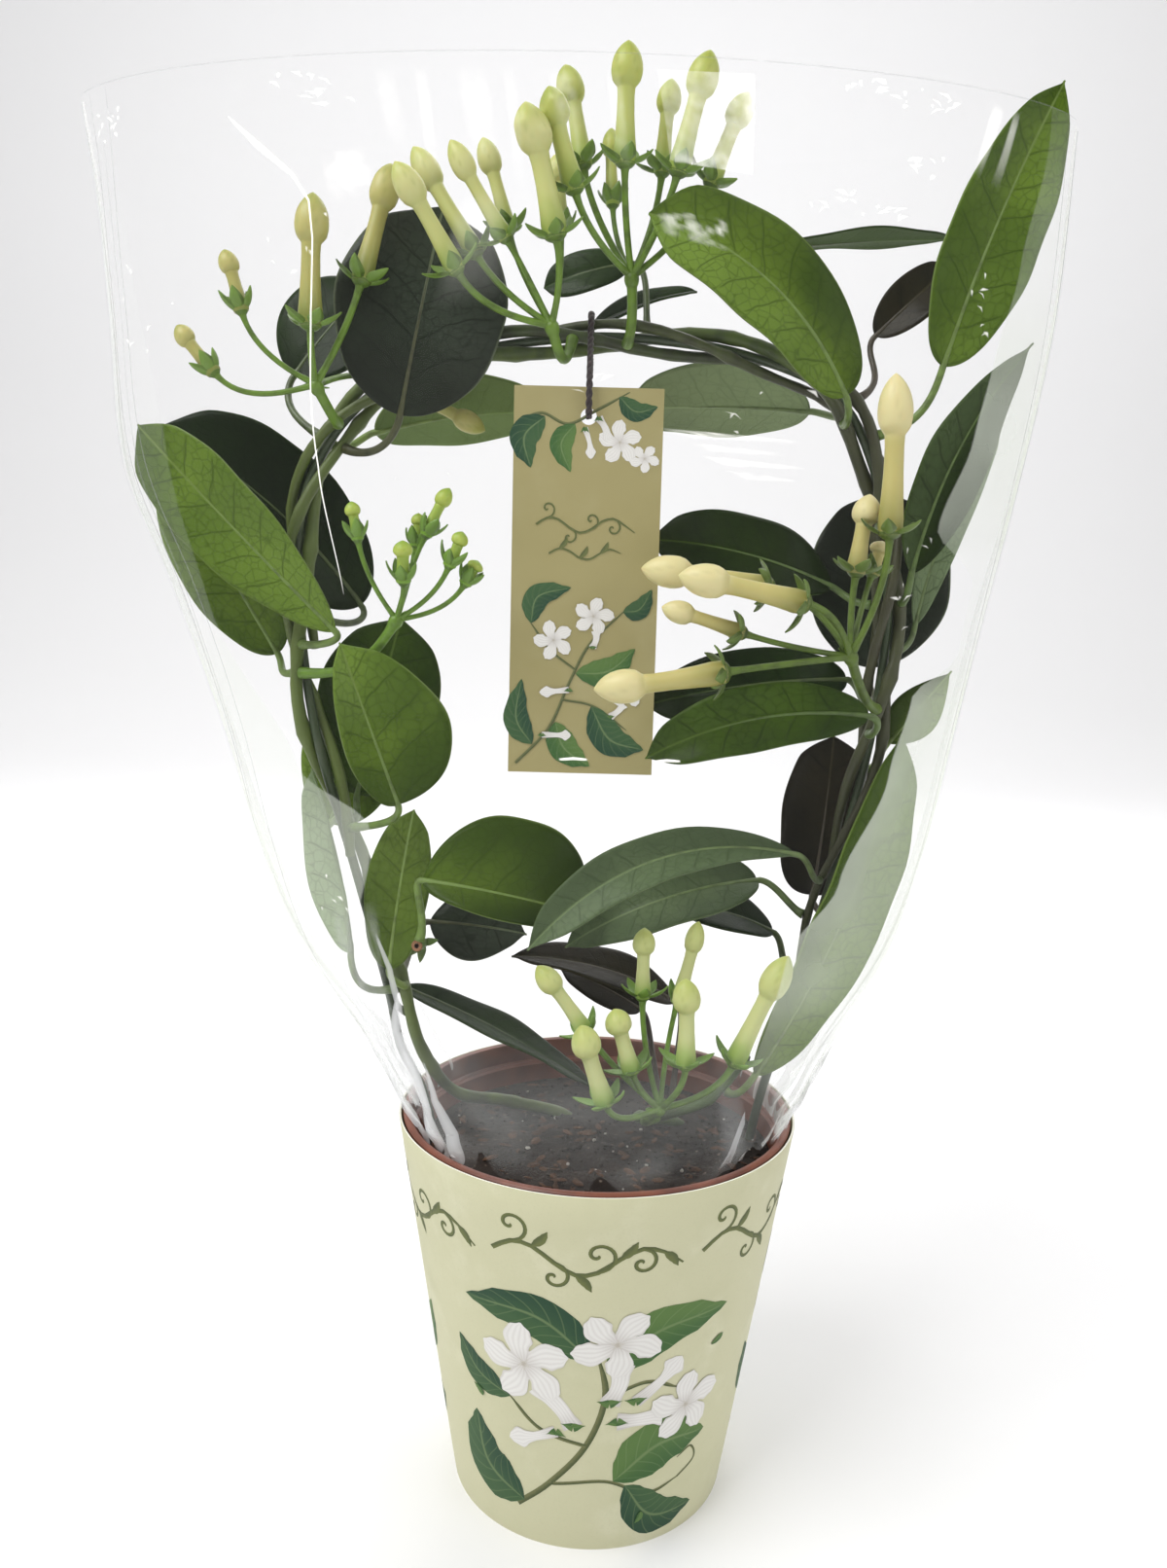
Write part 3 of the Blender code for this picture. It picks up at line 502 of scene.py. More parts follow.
def addCover(card, cutEdge):
    thick = cover["card"]
    pile = Pile()
    outer = []
    for i in range(13):
        z = cover["height"] * i / 12
        outer.append((coverRadius(z), min(max(z, 0.0003), cover["height"] - 0.0002)))
    bevel = 0.0001
    top = [(cover["topRadius"] - inwards, cover["height"]) for inwards in (bevel, thick - bevel)]
    inner = [(r - thick, z) for r, z in reversed(outer)]
    base = [(cover["baseRadius"] - thick + bevel, 0.0), (cover["baseRadius"] - bevel, 0.0)]
    rows = turnedRows(outer + top + inner + base, 160)
    pile.grid(rows[:13] + rows[13:14], around=True)
    pile.grid(rows[13:15], ink=1, around=True)
    pile.grid(rows[14:], around=True)
    pile.grid(rows[-1:] + rows[:1], ink=1, around=True)
    mesh = joinedMesh(pile, "coverCard", 0.00003)
    addPiece("coverCard", mesh, [card, cutEdge], ["card_cover"], 40)
    rows = []  # the glued lap down the back
    for i in range(14):
        z = 0.0004 + (cover["height"] - 0.0008) * i / 13
        row = []
        for k in range(9):
            angle = math.radians(cover["lapFrom"] + cover["lapWidth"] * k / 8)
            radius = coverRadius(z) - (0.0001 if k in (0, 8) else 0.00002)
            row.append((radius * math.cos(angle), radius * math.sin(angle), z))
        rows.append(row)
    lap = Pile()
    lap.grid(rows)
    addPiece("coverLap", lap.mesh("coverLap", closed=False), [card])


inks = {
    "olive": ((0.145, 0.165, 0.055), (0.10, 0.12, 0.045)),
    "leafDark": ((0.018, 0.062, 0.030), (0.050, 0.115, 0.040)),
    "leafMid": ((0.045, 0.120, 0.030), (0.110, 0.200, 0.050)),
    "petal": ((0.80, 0.79, 0.76), (0.58, 0.55, 0.52)),
    "petalShade": ((0.62, 0.60, 0.55), (0.45, 0.40, 0.33)),
    "twig": ((0.075, 0.095, 0.035), (0.16, 0.17, 0.07)),
}


def inkFinish(name):  # marks: x runs along a stroke, y across it from -1 to 1
    main, second = inks[name]
    ink = Finish("ink" + name[0].upper() + name[1:], Specular_IOR_Level=0.3)
    _, (along, across, _) = ink.marks("marks")
    speck = ink.noise(900.0, 3.0)
    if name.startswith("leaf"):
        rib = 1 - ink.step(abs(across), 0.02, 0.10)
        veins = ink.maths("PINGPONG", along * 8 - abs(across) * 1.6, 0.5)
        veins = (1 - ink.step(veins, 0.0, 0.09)) * 0.6
        shade = ink.step(across + speck * 0.5, -0.6, 0.9)
        colour = ink.mix(main, second, shade * 0.8)
        colour = ink.mix(colour, (0.20, 0.28, 0.12), ink.maths("MAXIMUM", rib, veins) * 0.55)
    elif name.startswith("petal"):
        folds = ink.step(ink.maths("PINGPONG", across * 2.5 + along * 0.4, 0.5), 0.0, 0.4)
        throat = 1 - ink.step(along, 0.0, 0.45)
        rim = ink.step(abs(across), 0.75, 1.0)
        colour = ink.mix(main, second, (1 - folds) * 0.35 + throat * 0.65 + rim * 0.35)
    else:
        colour = ink.mix(main, second, ink.step(across + speck, -0.2, 1.2))
    ink.paint(Base_Color=colour, Roughness=0.52 + speck * 0.12)
    return ink


def stroke(points, widths, steps=18, columns=6):
    # a printed mark: a band along a flat curve, as rows of (x, y) with its marks
    flat = [Vector((x, y, 0.0)) for x, y in points]
    perSpan = max(2, steps // max(1, len(flat) - 1))
    route = smoothRoute(flat, perSpan)
    along = directions(route)
    rows = []
    tags = []
    for i, (point, tangent) in enumerate(zip(route, along)):
        share = i / (len(route) - 1)
        side = Vector((-tangent.y, tangent.x, 0.0))
        half = curveAt(widths, share)
        rows.append([point + side * half * (2 * c / columns - 1) for c in range(columns + 1)])
        tags.append([(share, 2 * c / columns - 1, 0.0) for c in range(columns + 1)])
    return rows, tags


leafWidths = ((0.0, 0.02), (0.1, 0.55), (0.3, 0.95), (0.5, 1.0), (0.75, 0.72), (0.92, 0.26), (1.0, 0.0))
petalWidths = ((0.0, 0.20), (0.3, 0.65), (0.6, 1.0), (0.85, 0.75), (1.0, 0.05))
trumpetWidths = ((0.0, 0.75), (0.3, 0.55), (0.7, 0.62), (1.0, 0.95))
budWidths = ((0.0, 0.55), (0.5, 0.42), (0.62, 0.55), (0.78, 1.0), (0.92, 0.6), (1.0, 0.02))


def scaled(widths, size):
    return tuple((share, half * size) for share, half in widths)


class Print(list):  # the marks of one printed design, in the order that they are laid down
    def add(self, ink, *band):
        self.append((ink, *stroke(*band)))

    def leaf(self, start, bend, end, width, ink="leafDark"):
        self.add(ink, (start, bend, end), scaled(leafWidths, width / 2))

    def stem(self, points, width, ink="twig"):
        self.add(ink, points, ((0.0, width / 2), (0.8, width / 2), (1.0, width / 5)), 26, 2)

    def star(self, x, y, size, turn, squash=1.0):  # an open flower of five pointed petals
        for k in range(5):
            angle = math.radians(turn + 72 * k)
            far = Vector((math.cos(angle) * size, math.sin(angle) * size * squash, 0.0))
            side = Vector((-far.y, far.x, 0.0)) * 0.10
            half = size * 0.33 * (0.6 + 0.4 * squash)
            points = ((x, y), (x + far.x * 0.5 + side.x, y + far.y * 0.5 + side.y), (x + far.x, y + far.y))
            self.add("petal", points, scaled(petalWidths, half))
        for k in range(5):
            angle = math.radians(turn + 36 + 72 * k)
            end = (x + math.cos(angle) * size * 0.16, y + math.sin(angle) * size * 0.16 * squash)
            self.add("petalShade", ((x, y), end), ((0.0, size * 0.05), (1.0, size * 0.01)), 4, 2)

    def trumpet(self, start, end, width, bud=False):
        middle = ((start[0] + end[0]) / 2 + width * 0.15, (start[1] + end[1]) / 2)
        self.add("petal", (start, middle, end), scaled(budWidths if bud else trumpetWidths, width / 2))
        for k in (-1, 0, 1):
            away = (start[0] + k * width * 0.45, start[1] - width * 0.1 + (end[1] - start[1]) * 0.14)
            self.add("leafMid", (start, away), ((0.0, width * 0.18), (1.0, 0.0)), 4, 2)


def curl(x, y, size, turns, start, flip):
    # points of a small spiral that ends in its own middle
    points = []
    for i in range(15):
        t = i / 14
        angle = math.radians(start) + flip * turns * math.tau * t
        radius = size * (1 - t) ** 1.25
        points.append((x + math.cos(angle) * radius, y + math.sin(angle) * radius))
    return points


def inkPieces(name, groups, finishes, onto):  # the marks of each ink become one thin piece
    for ink in sorted({mark[0] for marks in groups for mark in marks}):
        pile = Pile()
        for marks in groups:
            for layer, (used, rows, tags) in enumerate(marks):
                if used == ink:
                    lift = 0.00005 + 0.0000035 * layer
                    pile.grid([[onto(point, lift) for point in row] for row in rows], tags)
        title = name + ink[0].upper() + ink[1:]
        addPiece(title, pile.mesh(title, closed=False), [finishes[ink]])


def onCover(point, lift):  # flat print (run round the card, height) laid on the cover, in mm from its front
    height = point.y * mm
    radius = coverRadius(height) + lift
    angle = -math.pi / 2 + point.x * mm / coverRadius(cover["height"] * 0.5)
    return (radius * math.cos(angle), radius * math.sin(angle), height)


def coverPrint():
    groups = []
    # a winding tendril band near the top edge, six lengths round the card
    for part in range(6):
        art = Print()
        groups.append(art)
        first = -86.5 + 58 * part
        wave = [(first + 5.8 * i, 105.5 + 4.5 * math.sin(i * 1.1)) for i in range(10)]
        art.stem(wave, 1.5, "olive")
        for i, size in ((1, 5.6), (3, 5.0), (5, 5.8), (7, 4.8)):
            x, y = wave[i]
            side = 1 if i % 4 == 1 else -1
            art.stem(curl(x, y + side * size, size, 1.25, -90 * side, side), 1.1, "olive")
        for i in (2, 4, 6, 8):
            x, y = wave[i]
            lean = 1 if i % 4 else -1
            art.leaf((x, y), (x + 2.6, y + 2.4 * lean), (x + 4.4, y + 5.6 * lean), 2.6, "olive")
    # one large sprig on the front, and its like on the back
    for shift in (0, 168):
        art = Print()
        groups.append(art)

        def at(x, y):
            return (x * 1.38 + shift, y * 1.12)

        art.stem([at(-19, 12), at(-10, 22), at(-1, 36), at(3, 52), at(1, 66)], 2.0)
        art.stem([at(-10, 22), at(4, 24), at(15, 18), at(24, 20)], 1.2)
        art.stem([at(24, 20), at(29, 24), at(27, 29), at(23, 27)], 0.8)
        art.stem([at(-1, 36), at(-12, 40), at(-19, 48)], 1.3)
        art.stem([at(3, 52), at(12, 56), at(20, 52)], 1.3)
        art.leaf(at(-17, 14), at(-28, 22), at(-30, 38), 20)
        art.leaf(at(6, 24), at(17, 34), at(31, 33), 20, "leafMid")
        art.leaf(at(9, 22), at(17, 10), at(31, 8), 15)
        art.leaf(at(3, 60), at(14, 72), at(31, 74), 16, "leafMid")
        art.leaf(at(0, 64), at(-12, 76), at(-29, 76), 15)
        art.leaf(at(-19, 48), at(-28, 52), at(-33, 61), 11)
        art.trumpet(at(-4, 42), at(-12, 54), 9)
        art.trumpet(at(4, 50), at(6, 62), 9)
        art.trumpet(at(10, 50), at(20, 62), 8.5, bud=True)
        art.trumpet(at(6, 44), at(17, 44), 8.5)
        art.trumpet(at(-8, 40), at(-20, 34), 7.5, bud=True)
        art.star(*at(-15, 60), 14.5, 20)
        art.star(*at(5, 69), 14.0, 52, 0.85)
        art.star(*at(23, 45), 13.5, 85, 0.9)
        for x, y, turn in ((28, 62, 30), (-27, 44, 130), (14, 12, 250)):
            far = (x + 4 * math.cos(math.radians(turn)), y + 4 * math.sin(math.radians(turn)))
            art.leaf(at(x, y), at((x + far[0]) / 2 + 0.6, (y + far[1]) / 2), at(*far), 2.4, "leafMid")
    # smaller leaves at the sides
    for shift in (-84, 84):
        art = Print()
        groups.append(art)
        art.stem([(shift - 9, 20), (shift - 2, 38), (shift + 1, 58), (shift - 3, 76)], 1.2)
        art.leaf((shift - 3, 36), (shift - 14, 44), (shift - 20, 57), 13)
        art.leaf((shift, 48), (shift + 11, 55), (shift + 18, 68), 13, "leafMid")
        art.leaf((shift - 2, 74), (shift - 9, 82), (shift - 9, 92), 9)
        art.leaf((shift - 7, 26), (shift + 5, 26), (shift + 17, 33), 12)
        art.star(shift - 4, 66, 8, 40, 0.9)
        art.trumpet((shift + 1, 56), (shift + 9, 45), 5.5, bud=True)
    return groups


tag = {  # in mm, but its card and centre in metres
    "width": 44.5, "height": 115.5, "card": 0.00055, "centre": (-0.0085, -0.0120, 0.2980),
    "holeRadius": 2.4, "holeDrop": 8.5,
    "khaki": (0.36, 0.315, 0.14), "aged": (0.29, 0.255, 0.10), "pale": (0.43, 0.39, 0.21),
}


def addTag(card, cutEdge):
    # the card is ruled around its hole: square outline points joined to a ring of hole points
    halfW, halfH = tag["width"] / 2, tag["height"] / 2
    holeZ = halfH - tag["holeDrop"]
    steps = 48
    outline = []
    for k in range(steps):
        angle = math.tau * k / steps
        dx, dz = math.cos(angle), math.sin(angle)
        reach = min(
            halfW / abs(dx) if abs(dx) > 1e-6 else 1e9,
            (halfH - holeZ if dz > 0 else halfH + holeZ) / abs(dz) if abs(dz) > 1e-6 else 1e9,
        )
        outline.append((dx * reach, holeZ + dz * reach))
    corners = [(-halfW, halfH), (halfW, halfH), (-halfW, -halfH), (halfW, -halfH)]
    for corner in corners:  # the nearest ray goes right into each corner
        near = min(range(steps), key=lambda k: math.dist(outline[k], corner))
        outline[near] = corner
    x0, y0, z0 = tag["centre"]
    hang = tag["card"] / 2

    def spot(x, z, y):
        bow = 0.00035 * math.sin(math.pi * (z / tag["height"] + 0.5)) + 0.0001 * math.sin(x / 9)
        return (x0 + x * mm, y0 + y + bow - 0.0002, z0 + z * mm)

    levels = (0.0, 0.02, 0.12, 0.3, 0.5, 0.75, 0.97, 1.0)
    front, back = [], []
    for level in levels:
        for rows, y in ((front, -hang), (back, hang)):
            row = []
            for k in range(steps):
                angle = math.tau * k / steps
                hx, hz = math.cos(angle) * tag["holeRadius"], holeZ + math.sin(angle) * tag["holeRadius"]
                ox, oz = outline[k]
                row.append(spot(hx + (ox - hx) * level, hz + (oz - hz) * level, y))
            rows.append(row)
    pile = Pile()
    pile.grid(front, around=True)
    pile.grid(back, around=True)
    pile.grid([front[0], back[0]], ink=1, around=True)
    pile.grid([front[-1], back[-1]], ink=1, around=True)
    mesh = joinedMesh(pile, "tagCard", 0.00001)
    addPiece("tagCard", mesh, [card, cutEdge], ["hang_tag"], 40)

    def onTag(point, lift):
        return spot(point.x, point.y, -hang - lift)

    return onTag


def tagPrint():
    art = Print()
    # sprig in the top corners
    art.stem([(-21.5, 47), (-14, 50), (-6, 47), (3, 51.5), (12, 56.5)], 0.9)
    art.leaf((-13, 49), (-19, 43), (-17, 34), 9)
    art.leaf((-4, 47), (-8, 41), (-5, 33), 7, "leafMid")
    art.leaf((9, 55), (14, 51), (20.5, 52.5), 6)
    art.star(9.5, 42, 6.6, 15)
    art.star(17, 37.5, 4.6, 50, 0.9)
    art.trumpet((3, 49), (6, 43), 3.4)
    art.trumpet((-1, 46), (1, 37), 3.2, bud=True)
    # scroll in the bare middle
    wave = [(-15 + 3.3 * i, 17.5 + 2.2 * math.sin(i * 1.15)) for i in range(10)]
    art.stem(wave, 0.7, "olive")
    for i in (1, 3, 5, 7):
        side = 1 if i % 4 == 1 else -1
        art.stem(curl(wave[i][0], wave[i][1] + side * 2.8, 2.8, 1.2, -90 * side, side), 0.55, "olive")
    wave = [(-11 + 3.1 * i, 9.0 + 1.6 * math.sin(i * 1.3)) for i in range(8)]
    art.stem(wave, 0.6, "olive")
    for i in (1, 3, 5):
        x, y = wave[i]
        art.leaf((x, y), (x + 1.6, y + 1.6), (x + 2.4, y + 3.6), 1.5, "olive")
    # lower spray
    art.stem([(-20, -55), (-10, -44), (-4, -30), (2, -18), (12, -8)], 0.9)
    art.stem([(-6, -35), (4, -37), (14, -44)], 0.7)
    art.stem([(-2, -26), (-10, -20), (-16, -12)], 0.7)
    art.leaf((-15, -49), (-20, -41), (-18.5, -29), 8)
    art.leaf((-16, -12), (-14, -4), (-4, -1), 7.5)
    art.leaf((-2, -27), (8, -26), (16, -19), 8.5, "leafMid")
    art.leaf((3, -37), (9, -47), (19.5, -50), 10)
    art.leaf((-8, -42), (-5, -50), (3, -55.5), 9, "leafMid")
    art.leaf((12, -8), (17, -7), (20.5, -1), 6)
    art.star(-9, -17, 6.2, 30)
    art.star(3, -9.5, 6.4, 70, 0.9)
    art.star(14, -32, 5.8, 10, 0.9)
    art.trumpet((-4, -32), (-13, -33), 3.6, bud=True)
    art.trumpet((3, -19), (4, -14), 3.2)
    art.trumpet((9, -40), (13, -36), 3.2)
    art.trumpet((-12, -46), (-3, -46), 3.4, bud=True)
    return art


potPlastic = potFinish()
coverCard = cardFinish("coverPaper", cover["cream"], cover["aged"], cover["pale"])
tagCardFinish = cardFinish("tagPaper", tag["khaki"], tag["aged"], tag["pale"])
cutEdge = cardFinish("cutPaperEdge", cover["cut"], cover["pale"], cover["cut"])
inkFinishes = {name: inkFinish(name) for name in inks}
addPot(potPlastic)
addCover(coverCard, cutEdge)
inkPieces("coverPrint", coverPrint(), inkFinishes, onCover)
inkPieces("tagPrint", [tagPrint()], inkFinishes, addTag(tagCardFinish, cutEdge))
print("pot, cover and tag done")


stemDesign = {  # metres
    "hoopRadius": 0.0015, "vineRadius": 0.0016, "pitch": 0.110, "windingGap": 0.0008, "seatGap": 0.0003,
    # shade: painted shade on the vines right of the hoop, with their older brown; young: a lighter green on
    # their left, partly their own young green and partly painted light
    "shade": (0.042, 0.039, 0.016), "young": (0.105, 0.150, 0.020),
}

# hoop centre line in mm, from its left foot in the soil, over the top, to its right foot
hoopRoutePoints = (
    (-46, 5, 60), (-53, 5, 100), (-58, 4, 127), (-66, 3, 145), (-70, 2, 165), (-82, 1, 210),
    (-93, 0, 250), (-98, 0, 290), (-96, 0, 322), (-82, 1, 348), (-58, 2, 363),
    (-28, 3, 371), (4, 3, 373), (38, 3, 369), (66, 2, 358), (80, 1, 336),
    (86, 0, 306), (86, 0, 272), (81, 1, 235), (73, 2, 200), (64, 3, 165),
    (55, 4, 130), (50, 5, 100), (45, 5, 60),
)

# vines wound on the hoop: first and last share of its length, side of it in degrees, thickness in mm
vineTurns = {
    "vine_long": (0.17, 0.87, 160, 2.0),
    "vine_second": (0.20, 0.88, 40, 1.7),
    "vine_third": (0.29, 0.84, 280, 1.5),
}
vineLongFoot = ((-3, 16, 92), (-8, 18, 113), (-30, 15, 121), (-48, 8, 127), (-59, 0, 146), (-65, -2, 170))
cutShootRoute = ((-61, -4, 180), (-57, -10, 184), (-58, -17, 185))
vineCrossRoute = ((40, 22, 94), (30, 14, 114), (14, 2, 122), (20, -8, 127), (36, -8, 133), (50, -2, 146))


def hoopRoute(perSpan):
    return smoothRoute([metres(point) for point in hoopRoutePoints], perSpan)


def woundRoute(first, last, side, perSpan):  # once round the hoop in every pitch
    route = hoopRoute(perSpan)
    lengths = lengthsAlong(route)
    reach = stemDesign["hoopRadius"] + stemDesign["vineRadius"] + stemDesign["windingGap"]
    points = []
    for i in range(1, len(route) - 1):
        if not first <= lengths[i] / lengths[-1] <= last:
            continue
        along = (route[i + 1] - route[i - 1]).normalized()
        back = (Vector((0, 1, 0)) - along * along.y).normalized()
        outward = along.cross(back)
        angle = math.radians(side) + math.tau * lengths[i] / stemDesign["pitch"]
        points.append(route[i] + aimed(back, outward, angle) * reach)
    return points


def stemRoutes(fine=1):  # name: (route, radius, drawn radius in mm)
    radius = stemDesign["vineRadius"]
    routes = {}
    for name, (first, last, side, thick) in vineTurns.items():
        routes[name] = (woundRoute(first, last, side, 2 * fine), radius, thick)
    wound = routes["vine_long"][0]
    foot = smoothRoute([metres(point) for point in vineLongFoot] + wound[:1], 3 * fine)
    routes["vine_long"] = (foot[:-1] + wound, radius, 2.0)
    cross = smoothRoute([metres(point) for point in vineCrossRoute], 4 * fine)
    routes["vine_cross"] = (cross, radius, 1.7)
    return routes


def seatOnStem(stems, via, clearance):  # where a stalk that comes from via meets the nearest stem
    best = None
    for route, radius, _ in stems.values():
        for start, stop in zip(route, route[1:]):
            spot, share = intersect_point_line(via, start, stop)
            spot = start.lerp(stop, min(max(share, 0.0), 1.0))
            distance = (via - spot).length
            if best is None or distance < best[0]:
                best = (distance, spot, radius)
    _, spot, radius = best
    return spot + (via - spot).normalized() * (radius + clearance)


def bentStalk(start, via, stop, arrival, steps):
    before = stop - arrival.normalized() * (stop - via).length * 0.5
    points = []
    for i in range(steps + 1):
        t = i / steps
        r = 1 - t
        points.append(start * r ** 3 + via * 3 * r * r * t + before * 3 * r * t * t + stop * t ** 3)
    return points


bark = {
    "vine_long": ((0.078, 0.118, 0.016), (0.036, 0.058, 0.009), (0.13, 0.10, 0.05)),
    "vine_second": ((0.050, 0.076, 0.016), (0.026, 0.034, 0.009), (0.10, 0.075, 0.045)),
    "vine_third": ((0.062, 0.080, 0.020), (0.032, 0.036, 0.011), (0.075, 0.060, 0.045)),
    "vine_cross": ((0.070, 0.125, 0.026), (0.040, 0.070, 0.016), (0.15, 0.13, 0.07)),
}


def barkFinish(name, green, deep, scar):
    skin = Finish(name, Coat_Weight=0.12, Coat_Roughness=0.35)
    place = skin.place()
    streaks = skin.noise(120.0, 4.0)
    fine = skin.noise(900.0, 3.0)
    spots = skin.node("ShaderNodeTexVoronoi", {"feature": "F1"}, {"Vector": place, "Scale": 420.0})
    corky = 1 - skin.step(spots, 0.06, 0.16)
    colour = skin.mix(green, deep, skin.step(streaks, 0.38, 0.66))
    colour = skin.mix(colour, scar, corky * skin.step(skin.noise(45.0, 2.0), 0.5, 0.7) * 0.8)
    right = skin.node("ShaderNodeSeparateXYZ", {}, {0: place})
    oldWoodAndShade = skin.step(right, 0.045, 0.070)  # darker and browner on the right of the hoop: old wood there, and painted shade; greener on its left: young growth, and painted light over the shaded bundle
    young = skin.step(right * -1.0, 0.050, 0.062)
    colour = skin.mix(colour, stemDesign["shade"], oldWoodAndShade * 0.75)
    colour = skin.mix(colour, stemDesign["young"], young * 0.65)
    skin.paint(
        Base_Color=colour, Roughness=0.42 + fine * 0.2,
        Normal=skin.bump(streaks * 0.6 + fine * 0.3 + corky * 0.5, 0.35, 0.0006),
    )
    return skin


def addStems():
    wire = Finish("wireCoating", Coat_Weight=0.2, Coat_Roughness=0.25)
    scuffs = wire.noise(240.0, 4.0)
    wire.paint(
        Base_Color=wire.mix((0.034, 0.056, 0.020), (0.060, 0.080, 0.040), wire.step(scuffs, 0.45, 0.8)),
        Roughness=0.34 + scuffs * 0.25, Normal=wire.bump(scuffs, 0.15, 0.0003),
    )
    route = hoopRoute(8)
    pile = Pile()
    pile.grid(rings(route, [stemDesign["hoopRadius"]] * len(route), 14), around=True, capped=True)
    addPiece("hoopWire", pile.mesh("hoopWire"), [wire], ["hoop_wire"], 50)
    for name, (route, _, thick) in stemRoutes(4).items():
        chance = random.Random(name)
        lengths = lengthsAlong(route)
        joints = []
        spot = 0.012
        while spot < lengths[-1]:
            joints.append(spot)
            spot += chance.uniform(0.024, 0.040)
        radii = []
        for length in lengths:
            swell = sum(0.30 * hump(length, joint, 0.0022) for joint in joints)
            wander = 0.06 * math.sin(length * 210 + thick) + 0.04 * math.sin(length * 530)
            tail = 1 - 0.45 * max(0.0, (length / lengths[-1] - 0.8) / 0.2)
            radii.append(thick * mm * (1 + swell + wander) * tail)
        radii[0] *= 0.8
        radii[-1] *= 0.35
        pile = Pile()
        pile.grid(rings(route, radii, 14), around=True, capped=True)
        title = titleOf(name)
        addPiece(title, pile.mesh(title), [barkFinish(title + "Bark", *bark[name])], [name], 60)


def cutShootStem(stems):
    points = [metres(point) for point in cutShootRoute]
    points.insert(0, seatOnStem(stems, points[0], stemDesign["seatGap"]))
    return smoothRoute(points, 6), stemDesign["vineRadius"], 1.6


def addCutShoot(stems):
    green = barkFinish("cutShootBark", (0.08, 0.15, 0.025), (0.04, 0.07, 0.018), (0.14, 0.10, 0.05))
    wood = Finish("cutShootWood")
    grain = wood.noise(1500.0, 3.0)
    wood.paint(
        Base_Color=wood.mix((0.34, 0.17, 0.08), (0.16, 0.07, 0.035), grain),
        Roughness=0.7 + grain * 0.1, Normal=wood.bump(grain, 0.4, 0.0003),
    )
    pith = Finish("cutShootPith", Base_Color=(0.030, 0.016, 0.010, 1.0), Roughness=0.9)
    route, radius, _ = stems["cut_side_shoot"]
    pile = Pile()
    radii = [radius * (1.15 if i > len(route) - 4 else 1.0) for i in range(len(route))]
    pile.grid(rings(route, radii, 16), around=True)
    along = directions(route)[-1]
    across = carried(along.orthogonal(), [along])[0]
    up = along.cross(across)
    end = route[-1]

    def spoke(degrees):
        return aimed(across, up, math.radians(degrees))

    def ringAt(share, push):
        return [end + spoke(22.5 * k) * radius * share + along * push for k in range(16)]

    cutFace = [ringAt(1.15, 0.0), ringAt(1.02, 0.0004), ringAt(0.5, 0.0003)]
    pithHole = [ringAt(0.5, 0.0003), ringAt(0.4, -0.0004), ringAt(0.02, -0.0006)]
    pile.grid(cutFace, ink=1, around=True)
    pile.grid(pithHole, ink=2, around=True)
    for turn, size in ((40, 6.5), (150, 5.5), (255, 3.5)):  # small bracts behind the cut
        out = (spoke(turn) - along * 0.1).normalized()
        scale(pile, route[-6], out, along, size * mm, size * 0.5 * mm, 0.0004)
    addPiece("cutShoot", pile.mesh("cutShoot"), [green, wood, pith], ["cut_side_shoot"], 50)


def scale(pile, root, out, up, length, width, thick, ink=0, curlUp=0.5, lead=0.0):
    # a small pointed leaf or sepal: leaves root along out and bends towards up; a closed thin body
    steps = 8
    side = out.cross(up).normalized()
    point = root.copy()
    rows, tags = [], []
    for i in range(steps + 1):
        t = i / steps
        bend = lead + (curlUp - lead) * t
        along = aimed(out, up, bend).normalized()
        face = side.cross(along).normalized()
        half = max(width / 2 * min(1.0, 0.5 + 1.6 * t) * (1 - t ** 2.4) ** 0.8, width * 0.015)
        row = []
        for upper in (-1, 1):  # the lower side one way across, then the upper side back
            for c in (-1.0, -0.5, 0.0, 0.5, 1.0):
                c *= -upper
                rise = half * 0.35 * c * c + upper * thick * (0.5 if abs(c) < 1 else 0.1)
                row.append(point + side * half * c + face * rise)
        rows.append(row)
        tags.append([(t, c / 5, 0.0) for c in range(10)])
        point = point + along * (length / steps)
    pile.grid(rows, tags, ink=ink, around=True, capped=True)
